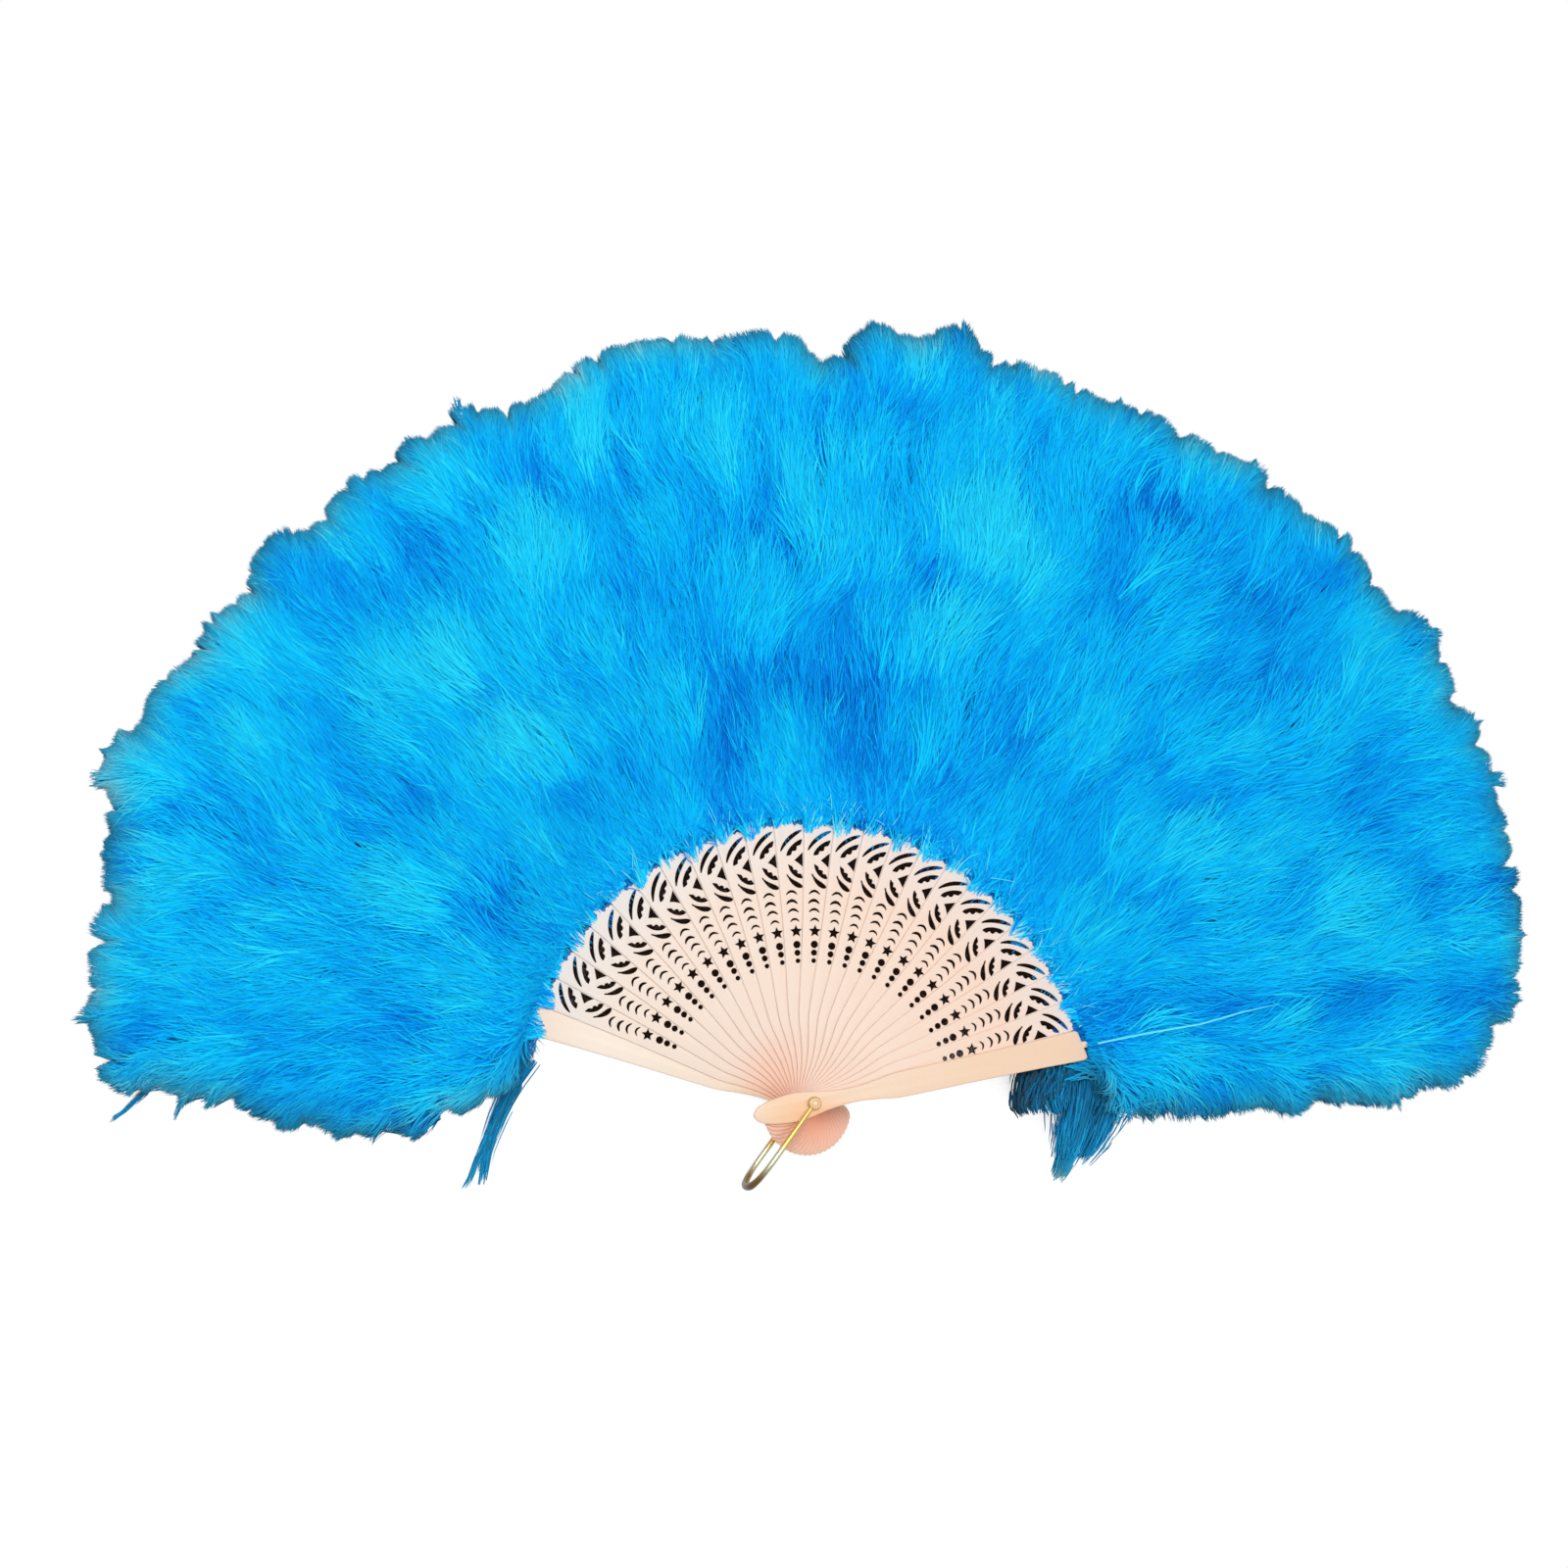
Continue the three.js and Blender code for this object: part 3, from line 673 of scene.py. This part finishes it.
# Tufts that stand high and catch the light, and hollows between them, which also paint light on the tufts and shade in
# the hollows: x, y, length, width, turn in degrees, change
TUFTS = [
    (-110, 304, 64, 32, 115, 0.9), (-65, 311, 54, 34, 100, 0.7), (-2, 262, 26, 54, 0, 0.8),
    (81, 255, 44, 54, 55, 0.8), (58, 217, 60, 22, 65, 0.8), (153, 189, 64, 20, 35, 0.7),
    (-257, 180, 90, 28, 165, 0.6), (-161, 169, 54, 36, 140, 0.9), (-124, 142, 36, 36, 130, 0.8),
    (-290, 135, 72, 28, 175, 0.6), (-284, 60, 90, 28, 180, 0.6), (-126, 209, 54, 40, 130, 0.7),
    (-180, 87, 80, 22, 170, 0.5), (183, 102, 72, 28, 25, 0.7), (227, 69, 80, 20, 10, 0.7),
    (281, 185, 54, 36, 20, 0.5), (13, 349, 62, 20, 88, -1.0), (67, 347, 30, 16, 75, -0.6),
    (-28, 240, 26, 20, 95, -1.2), (-91, 264, 54, 32, 100, -0.6), (-180, 232, 36, 20, 150, -0.8),
    (-197, 210, 40, 20, 150, -0.7), (41, 221, 54, 12, 70, -0.8), (7, 172, 50, 54, 90, -1.0),
    (148, 263, 54, 36, 40, -0.9), (197, 221, 68, 36, 45, -1.1), (62, 121, 54, 36, 60, -1.0),
    (139, 184, 54, 12, 25, -0.8), (218, 48, 150, 14, 3, -1.0), (-123, 82, 28, 22, 140, -0.7),
    (264, 142, 54, 28, 10, -0.7), (-34, 145, 60, 32, 90, -0.7), (-210, 0, 110, 18, 172, -0.7),
    (-186, 126, 60, 14, 170, -0.5), (320, 90, 40, 110, 0, -0.4), (159, 125, 70, 12, 25, -0.6)]
# Loose wisps under the two guards: the stave, the wisp's middle line in millimetres, its width, its strands, and their
# shades at its foot and tip
WISPS = [
    (0, [(-126, 18), (-134, 5), (-140, -9), (-145, -24), (-147, -40)], 6.0, 200, 0.3, 0.42),
    (0, [(-139, -4), (-144, -15), (-149, -27), (-152, -36), (-156, -43)], 3.0, 70, 0.25, 0.5),
    (0, [(-294, 4), (-301, -3), (-307, -9), (-312, -13), (-314, -15)], 2.5, 40, 0.3, 0.4),
    (0, [(-276, 4), (-280, -2), (-283, -7), (-284, -10), (-285, -13)], 1.8, 26, 0.3, 0.4),
    (LAST_STAVE, [(107, 17), (104, 12), (102, 5), (101, 0), (103, -4)], 8.0, 300, 0.0, 0.03),
    (LAST_STAVE, [(117, 18), (112, 12), (109, 5), (108, 0), (109, -3)], 10.0, 300, 0.1, 0.2),
    (LAST_STAVE, [(121, 20), (119, 13), (117, 7), (117, 2), (119, -3)], 11.0, 420, 0.2, 0.3),
    (LAST_STAVE, [(130, 24), (131, 12), (129, 0), (126, -12), (122, -24)], 16.0, 800, 0.24, 0.45),
    (LAST_STAVE, [(146, 16), (145, 4), (141, -6), (137, -16), (131, -25)], 14.0, 420, 0.3, 0.4),
    (LAST_STAVE, [(129, -4), (127, -13), (125, -21), (122, -28), (119, -34)], 8.0, 300, 0.35, 1.0)]


def depth_map():
    """How far inside the feathers' edge each place of the fan is, and how far along the edge its nearest place is.

    Both are in millimetres, on a grid of 1 mm. The first is negative outside.
    """
    across, along = np.meshgrid(np.arange(MAP_LEFT, MAP_RIGHT + 1.0), np.arange(MAP_LOW, MAP_HIGH + 1.0))
    line = np.array(FEATHER_EDGE, float)
    nearest, travelled, passed = np.full(across.shape, 1e9), np.zeros(across.shape), 0.0
    for start, end in zip(line[:-1], line[1:]):
        way = end - start
        share = (((across - start[0]) * way[0] + (along - start[1]) * way[1]) / (way @ way)).clip(0, 1)
        apart = np.hypot(across - start[0] - share * way[0], along - start[1] - share * way[1])
        travelled = np.where(apart < nearest, passed + share * np.linalg.norm(way), travelled)
        nearest, passed = np.minimum(nearest, apart), passed + np.linalg.norm(way)
    inside = np.zeros(across.shape, bool)
    closed = np.vstack([line, [[0, -20]], line[:1]])
    for start, end in zip(closed[:-1], closed[1:]):
        if start[1] != end[1]:
            crossed = (start[1] > along) != (end[1] > along)
            inside ^= crossed & (across < start[0] + (along - start[1]) * (end[0] - start[0]) / (end[1] - start[1]))
    return np.where(inside, nearest, -nearest), travelled


def notches(travelled):
    """How far the edge is cut back, in millimetres, at places along it.

    There are sharp notches between the outer feathers, and a few spikes, where it is negative.
    """
    draw = np.random.RandomState(52)
    steps = np.arange(0, travelled.max() + 1, 0.25)
    cut = np.zeros(len(steps))
    place = 0.0
    while place < steps[-1]:
        place += draw.uniform(5, 22)
        deep, wide = 0.8 + draw.gamma(1.3, 2.2), draw.uniform(2.2, 5.5)
        if draw.uniform() < 0.12:
            deep, wide = -draw.uniform(2, 5), 2.2
        bite = deep * (1 - np.abs(steps - place) / wide).clip(0, 1) ** 1.6
        cut = np.where(np.abs(bite) > np.abs(cut), bite, cut)
    return np.interp(travelled, steps, cut)


DEPTH, TRAVELLED = depth_map()
OUTWARD = [-part for part in np.gradient(DEPTH)]
EDGE = DEPTH - notches(TRAVELLED)


def read_map(grid, points):
    """The grid's value at points in metres."""
    column = (points[..., 0] / MM - MAP_LEFT).clip(0, grid.shape[1] - 1.001)
    row = (points[..., 1] / MM - MAP_LOW).clip(0, grid.shape[0] - 1.001)
    i, j = row.astype(int), column.astype(int)
    u, v = row - i, column - j
    return ((1 - u) * ((1 - v) * grid[i, j] + v * grid[i, j + 1])
            + u * ((1 - v) * grid[i + 1, j] + v * grid[i + 1, j + 1]))


def ground(points, seed, wavelength):
    """Smooth noise over the fan, about -1 to 1."""
    draw = np.random.RandomState(seed)
    total = np.zeros(points.shape[:-1])
    waves = 9
    for _ in range(waves):
        heading, phase = draw.uniform(0, 2 * np.pi, 2)
        step = 2 * np.pi / (wavelength * draw.uniform(0.7, 1.6))
        total += np.cos((points[..., 0] * np.cos(heading) + points[..., 1] * np.sin(heading)) * step + phase)
    return total / math.sqrt(waves)


def tuft_lift(points):
    """How much the tufts and hollows raise the down at points, about -1 to 1."""
    total = 0.45 * ground(points, 21, 42 * MM)
    for x, y, length, width, turn, change in TUFTS:
        right, up = points[..., 0] - x * MM, points[..., 1] - y * MM
        cosine, sine = math.cos(math.radians(turn)), math.sin(math.radians(turn))
        along, across = right * cosine + up * sine, up * cosine - right * sine
        total += change * np.exp(-(along / (0.55 * length * MM)) ** 2 - (across / (0.55 * width * MM)) ** 2)
    return total.clip(-1.4, 1.2)


def flow(points):
    """The way that the down lies, as an angle: outwards, turned to the nearest edge, and swirled."""
    reach = np.linalg.norm(points, axis=-1)
    near = (1 - read_map(DEPTH, points) / 42).clip(0, 1) * 0.6
    right = (1 - near) * points[..., 0] / reach + near * read_map(OUTWARD[1], points)
    up = (1 - near) * points[..., 1] / reach + near * read_map(OUTWARD[0], points)
    return np.arctan2(up, right) + 0.22 * ground(points, 33, 100 * MM) + 0.12 * ground(points, 34, 38 * MM)


def plume_levels(stave, points):
    """Lowest and highest level of a plume's soft body at points of the fan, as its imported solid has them."""
    out = (np.linalg.norm(points, axis=-1) - PLUME_ROOT).clip(0.1 * MM, 1)
    share = out / (out + read_map(DEPTH, points).clip(0, 400) * MM)
    rib = stave_level(stave) + stave_thickness(stave) / 2
    stations = [0, 0.12, 0.3, 0.5, 0.74, 0.92, 1]
    drop = np.interp(share, stations, [0, 0.25, 0.7, 0.9, 1, 1, 0.95])
    lean = np.interp(share, stations, [1, 0.95, 0.8, 0.7, 0.5, 0.35, 0.3])
    puff = np.interp(share, stations, [0, 0.35, 0.9, 1, 0.95, 0.7, 0.3])
    half = 2.4 * MM
    return (1 - drop) * (rib - half), lean * rib + puff * 24 * MM + half * (1 - puff)


def way(angles):
    """The ways, as (x, y), in which angles point."""
    return np.stack([np.cos(angles), np.sin(angles)], -1)


def raised(flat, levels):
    """Points of the fan with their levels added."""
    return np.concatenate([flat, levels[..., None]], -1)


def strand_widths(width, count, draw, foot=0.7):
    """The widths of strands along them: foot at first, then full, then tapering to nothing."""
    return width * MM * draw.uniform(0.7, 1.3, (count, 1)) * np.array([foot, 1, 0.95, 0.7, 0])[None]


def along_line(lines, shares):
    """The points at shares of each line's way from its first point to its last."""
    place = shares * (lines.shape[1] - 1)
    index = place.astype(int).clip(0, lines.shape[1] - 2)
    before, after = [np.take_along_axis(lines, index[..., None] + ahead, 1) for ahead in (0, 1)]
    return before + (after - before) * (place - index)[..., None]


def lay_strands(stave, roots, angles, lengths, rises, shades, draw, width, margin=0.2):
    """Strands that follow the flow from their roots. They keep about margin, in millimetres, from the edge.

    rises holds each one's level at its root and tip, as shares of the plume's height. Returns their points, widths,
    shades and nearness to the rim.
    """
    count = len(roots)
    pace = lengths[:, None] / (STRAND_POINTS - 1)
    lean = angles - flow(roots)
    curl = draw.normal(0, 0.10, count)
    whole = [roots]
    for step in range(1, STRAND_POINTS):
        heading = flow(whole[-1]) + lean + curl * step / 2 + draw.normal(0, 0.035, count)
        whole.append(whole[-1] + pace * way(heading))
    whole = np.stack(whole, 1)
    # A strand that would pass the edge is cut short there, and one that starts outside it is left out
    fine = np.linspace(0, 1, 13)
    spare = read_map(EDGE, along_line(whole, np.tile(fine, (count, 1))))
    spare -= (margin + draw.normal(0, 0.35, count))[:, None]
    past = spare < 0
    first = np.where(past.any(1), past.argmax(1), len(fine) - 1).clip(1)
    inner, outer = [np.take_along_axis(spare, index[:, None], 1)[:, 0] for index in (first - 1, first)]
    reach = fine[first - 1] + fine[1] * np.where(outer < 0, inner / np.maximum(inner - outer, 1e-3), 1)
    held = (spare[:, 0] > 0) & (reach * lengths > 5 * MM)
    flat = along_line(whole[held], reach[held, None] * STRAND_STEPS[None])
    rises, shades, count = rises[held], shades[held], int(held.sum())
    low, high = plume_levels(stave, flat)
    rise = rises[:, :1] + (rises[:, 1:] - rises[:, :1]) * STRAND_STEPS[None] ** 0.8
    level = low + (high - low) * rise.clip(0.02, 1)
    # A strand that starts behind the blades comes out from under them, and the others cover the ribs
    reach = np.linalg.norm(flat, axis=2)
    under = np.maximum(stave_level(stave) - (1.3 + 2.5 * draw.uniform(0, 1, (count, 1))) * MM, 0.3 * MM)
    free = np.where(reach[:, :1] > 131.5 * MM, 1.0, ((reach - PLUME_ROOT) / (9 * MM)).clip(0, 1))
    level = under + (level - under) * free
    rim = (1 - read_map(EDGE, flat) / 24).clip(0.01, 0.99)
    # Each strand is a little darker at its root, painted shade where it lies under the others, and paler towards its
    # tip
    tones = shades[:, None] + np.array([-0.06, -0.03, 0.0, 0.02, 0.04])[None]
    return [raised(flat, level), strand_widths(width, count, draw), tones.clip(0.02, 0.9), rim]


def lay_locks(stave, count, draw, side):
    """Locks of down: bunches of strands that lie together. side is front, back or rim."""
    centre = math.degrees(stave_angle(stave))
    low = centre - (PAST_FRONT_GUARD if stave == LAST_STAVE else HALF_PLUME)
    high = centre + (PAST_BACK_GUARD if stave == 0 else HALF_PLUME)
    count = int(count * (high - low) / (2 * HALF_PLUME))
    inner, outer = (190 if side == "rim" else 126) * MM, 392 * MM
    reach = np.sqrt(draw.uniform(inner ** 2, outer ** 2, count))
    starts = reach[:, None] * way(np.radians(draw.uniform(low, high, count)))
    depth = read_map(DEPTH, starts)
    held = (depth > 2) & ((depth < 34) if side == "rim" else True)
    starts = starts[held]
    count = len(starts)
    # The down's shade is partly its dye, which varies at random, and partly painted light and shade: paler on high
    # tufts and high locks, darker in the hollows and low down
    lift = tuft_lift(starts)
    if side == "front":
        tips = 0.90 + 0.07 * lift + draw.normal(0, 0.025, count)
        bases = tips - draw.uniform(0.14, 0.3, count)
        shades = 0.5 + 0.34 * lift + 0.11 * draw.normal(0, 1, count) + 1.5 * (tips - 0.9 - 0.07 * lift)
        lengths = draw.uniform(22, 38, count) * MM
    elif side == "back":
        tips = 0.06 - 0.04 * lift + draw.uniform(0, 0.05, count)
        bases = tips + draw.uniform(0.12, 0.3, count)
        shades = 0.42 + 0.16 * lift + 0.05 * draw.normal(0, 1, count)
        lengths = draw.uniform(24, 38, count) * MM
    else:
        tips = draw.uniform(0.05, 0.95, count)
        bases = tips.clip(0.3, 0.7)
        shades = 0.34 + 0.25 * tips + 0.05 * draw.normal(0, 1, count)
        lengths = draw.uniform(20, 34, count) * MM
    lock = np.repeat(np.arange(count), LOCK_STRANDS)
    headings = flow(starts)[lock] + draw.normal(0, 0.12, count)[lock]
    along, across = draw.uniform(-8, 8, len(lock)) * MM, draw.normal(0, 1.5, len(lock)) * MM
    ahead = way(headings)
    beside = np.stack([-ahead[:, 1], ahead[:, 0]], 1)
    roots = starts[lock] + ahead * along[:, None] + beside * across[:, None]
    angles = headings - across / (60 * MM) + draw.normal(0, 0.07, len(lock))
    rises = np.stack([
        bases[lock] + draw.normal(0, 0.03, len(lock)), tips[lock] + draw.normal(0, 0.018, len(lock))], 1)
    tones = shades[lock] + draw.normal(0, 0.065, len(lock))
    margin = (0.4 + draw.gumbel(0, 0.7, count)[lock]).clip(-1.2, 7)
    lengths = lengths[lock] * draw.uniform(0.8, 1.15, len(lock))
    return lay_strands(stave, roots, angles, lengths, rises, tones, draw, STRAND_WIDTH, margin)


def lay_roots(stave, count, draw):
    """Short fluff that rises over the foot of the rib, just beyond the blade's tip."""
    turn = stave_angle(stave) + np.radians(draw.uniform(-3.6, 3.6, count))
    roots = draw.uniform(131.6, 142, (count, 1)) * MM * way(turn)
    rises = np.stack([draw.uniform(0.62, 0.95, count), draw.uniform(0.55, 0.95, count)], 1)
    # Partly painted light and shade: paler on the tufts, darker in the hollows
    tones = 0.5 + 0.2 * tuft_lift(roots) + draw.normal(0, 0.12, count)
    angles = flow(roots) + draw.normal(0, 0.3, count)
    return lay_strands(stave, roots, angles, draw.uniform(9, 24, count) * MM, rises, tones, draw, 0.66)


def lay_wisp(stave, line, spread, count, foot, tip, draw):
    """A loose wisp along a line, thinning towards its end."""
    line = np.array(line, float) * MM
    lengths = np.append(0, np.cumsum(np.linalg.norm(np.diff(line, axis=0), axis=1)))
    span = lengths[-1]
    start = draw.uniform(-0.1, 0.72, count) * span
    reach = draw.uniform(0.22, 0.5, count) * max(span, 26 * MM)
    offset = draw.normal(0, 0.36, (count, 1)) * spread * MM
    at = (start[:, None] + reach[:, None] * STRAND_STEPS[None]).clip(0, span * draw.uniform(0.88, 1.04, (count, 1)))
    bearing = np.gradient(line, axis=0)
    flat, ahead = [np.stack([np.interp(at, lengths, values[:, part]) for part in (0, 1)], -1)
                   for values in (line, bearing)]
    ahead /= np.linalg.norm(ahead, axis=2, keepdims=True)
    wide = offset * (1.1 - 0.75 * at / span) + draw.normal(0, 0.5 * MM, (count, 1)) * STRAND_STEPS[None]
    flat += np.stack([-ahead[..., 1], ahead[..., 0]], -1) * wide[..., None]
    rib = stave_level(stave)
    level = rib * draw.uniform(0.25, 0.85, (count, 1)) + draw.normal(0, 0.5 * MM, (count, STRAND_POINTS))
    widths = strand_widths(STRAND_WIDTH, count, draw)
    shades = (foot + (tip - foot) * (at / span) ** 3 + draw.normal(0, 0.1, (count, 1))).clip(0.02, 0.98)
    # The middle shades are bluer, and the dark and the pale ones lie wholly in the rim's tones
    bluer = np.minimum(shades, 0.8 - shades).clip(0, 1)
    rim = 0.99 - draw.uniform(0.1, 0.75, (count, 1)) * bluer
    return [raised(flat, level.clip(0.4 * MM, rib - 0.4 * MM)), widths, shades, rim]


def lay_tips(stave, draw):
    """Loose down that lies over a blade's tip, mostly on its left, and more of it on some than on others."""
    count = int(draw.uniform(30, 170))
    left = 6.2 * draw.uniform(0, 1, count) ** 0.8
    turn = stave_angle(stave) + np.radians(left - 2.8)
    reach = (132.5 - draw.uniform(0, 1, count) * (2 + draw.uniform(0.6, 2.2) * left.clip(0, 4.5))) * MM
    heading = turn + draw.normal(0, 0.3, count)
    curl = draw.normal(0, 0.25, (count, 1)) * STRAND_STEPS[None]
    pace = draw.uniform(7, 17, (count, 1)) * MM * STRAND_STEPS[None]
    flat = (way(turn) * reach[:, None])[:, None] + way(heading[:, None] + curl) * pace[..., None]
    top = stave_level(stave) + stave_thickness(stave)
    level = top + (0.2 + draw.uniform(0.5, 5, (count, 1)) * STRAND_STEPS[None] ** 1.5) * MM
    widths = strand_widths(0.6, count, draw, foot=0.6)
    shades = np.tile(draw.normal(0.58, 0.26, (count, 1)), STRAND_POINTS).clip(0.1, 0.965)
    return [raised(flat, level), widths, shades, np.full((count, STRAND_POINTS), 0.25)]


def lay_quills(stave, draw):
    """Pale quill ends that stick out round the tip of some blades, and one long quill over the front guard's plume."""
    count = draw.choice([0, 1, 2, 3], p=[0.4, 0.3, 0.2, 0.1])
    angle = stave_angle(stave) + np.radians(draw.uniform(-2.6, 2.6, count))
    root = way(angle) * (132.6 * MM)
    heading = angle[:, None] + draw.normal(0, 0.45, (count, 1)) + draw.normal(0, 0.12, (count, 1)) * STRAND_STEPS[None]
    reach = draw.uniform(6, 18, (count, 1)) * MM * STRAND_STEPS[None]
    flat = root[:, None] + way(heading) * reach[..., None]
    shades = np.full((count, STRAND_POINTS), 0.94)
    if stave == LAST_STAVE:
        flat = np.concatenate([flat, np.array([[(131, 30), (152, 35), (179, 40), (200, 46), (222, 51)]]) * MM])
        shades = np.concatenate([shades, np.full((1, STRAND_POINTS), 0.95)])
    high = plume_levels(stave, flat)[1]
    level = np.minimum(high + 0.4 * MM, stave_level(stave) + (1.0 + 14 * STRAND_STEPS[None]) * MM)
    level[count:] = high[count:] + (4.5 - 3.5 * STRAND_STEPS) * MM
    widths = np.tile(np.array([1, 0.95, 0.85, 0.7, 0]) * 0.45 * MM, (len(flat), 1))
    widths[count:] *= 2
    return [raised(flat, level), widths, shades, np.full((len(flat), STRAND_POINTS), 0.02)]


def strand_mesh(name, points, widths, shades, rim, draw):
    """One mesh of tapering flat strands, with a map that holds each one's shade and nearness to the rim."""
    count = len(points)
    along = np.gradient(points, axis=1)
    along /= np.linalg.norm(along, axis=2, keepdims=True) + 1e-12
    roll = draw.normal(0, 0.2, (count, 1))
    level = np.cross([0, 0, 1.0], along)
    level /= np.linalg.norm(level, axis=2, keepdims=True) + 1e-12
    upright = np.cross(along, level)
    half = (level * np.cos(roll)[..., None] + upright * np.sin(roll)[..., None]) * widths[..., None] / 2
    # A strand is a strip of quads between pairs of points, and a triangle at its tip
    body = STRAND_POINTS - 1
    pairs = np.stack([(points + half)[:, :body], (points - half)[:, :body]], 2).reshape(count, 2 * body, 3)
    vertices = np.concatenate([pairs, points[:, body:]], 1)
    each = 2 * body + 1
    base = (np.arange(count) * each)[:, None]
    quads = np.array([[2 * i, 2 * i + 1, 2 * i + 3, 2 * i + 2] for i in range(body - 1)])
    tip = np.array([2 * body - 2, 2 * body - 1, 2 * body])
    loops = np.concatenate([(base + quads.reshape(1, -1)), base + tip[None]], 1).ravel()
    starts_each = np.append(np.arange(body - 1) * 4, (body - 1) * 4)
    loops_each = 4 * (body - 1) + 3
    starts = (np.arange(count)[:, None] * loops_each + starts_each[None]).ravel()
    mesh = bpy.data.meshes.new(name)
    mesh.vertices.add(count * each)
    mesh.vertices.foreach_set("co", vertices.astype(np.float32).ravel())
    mesh.loops.add(len(loops))
    mesh.loops.foreach_set("vertex_index", loops.astype(np.int32))
    mesh.polygons.add(len(starts))
    mesh.polygons.foreach_set("loop_start", starts.astype(np.int32))
    mesh.polygons.foreach_set("use_smooth", np.ones(len(starts), bool))
    mesh.update(calc_edges=True)
    own = mesh.uv_layers.new(name="OFBake")
    side = np.append(np.tile([-1.0, 1.0], body), 0.0) * 0.012
    u = np.concatenate([np.repeat(shades[:, :body], 2, 1), shades[:, body:]], 1) + side[None]
    v = np.concatenate([np.repeat(rim[:, :body], 2, 1), rim[:, body:]], 1) + np.linspace(-0.006, 0.006, each)[None]
    uv = np.stack([u, v], -1).reshape(-1, 2)[loops]
    own.uv.foreach_set("vector", uv.clip(0.001, 0.999).astype(np.float32).ravel())
    mesh.validate()
    made = bpy.data.objects.new(name, mesh)
    bpy.context.scene.collection.objects.link(made)
    return made


def plume_strands(stave, draw):
    """The points, widths, shades and nearness to the rim of all strands of one plume."""
    parts = [lay_locks(stave, count, draw, side) for side, count in (("front", 620), ("back", 210), ("rim", 260))]
    parts.append(lay_roots(stave, 700, draw))
    parts += [lay_wisp(*wisp, draw) for wisp in WISPS if wisp[0] == stave]
    parts.append(lay_quills(stave, draw))
    if stave < LAST_STAVE:
        parts.append(lay_tips(stave, draw))
    return [np.concatenate(group) for group in zip(*parts)]


def add_plumes(finish):
    """Makes each plume as one mesh of strands, with a mesh of its own, and ties it to its stave."""
    for stave in range(LAST_STAVE + 1):
        draw = np.random.RandomState(700 + stave)
        name = f"{plume_node(stave)}_down"
        plume = strand_mesh(name, *plume_strands(stave, draw), draw)
        settle(plume, name, finish, stave_body(stave), [plume_node(stave)])
        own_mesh(plume)


add_camera()
light_the_room()
add_floor()
add_staves({
    "stick": moulded_plastic(
        "stick_plastic", linear(242, 213, 194), linear(243, 160, 122), linear(239, 224, 210), linear(226, 226, 226)),
    "guard": moulded_plastic(
        "guard_plastic", linear(240, 207, 177), linear(245, 194, 148), linear(246, 233, 219), linear(243, 209, 179)),
})
add_rivet(rivet_plastic())
add_bail(bail_wire())
add_ribbon(ribbon_cloth())
add_plumes(feather_down())
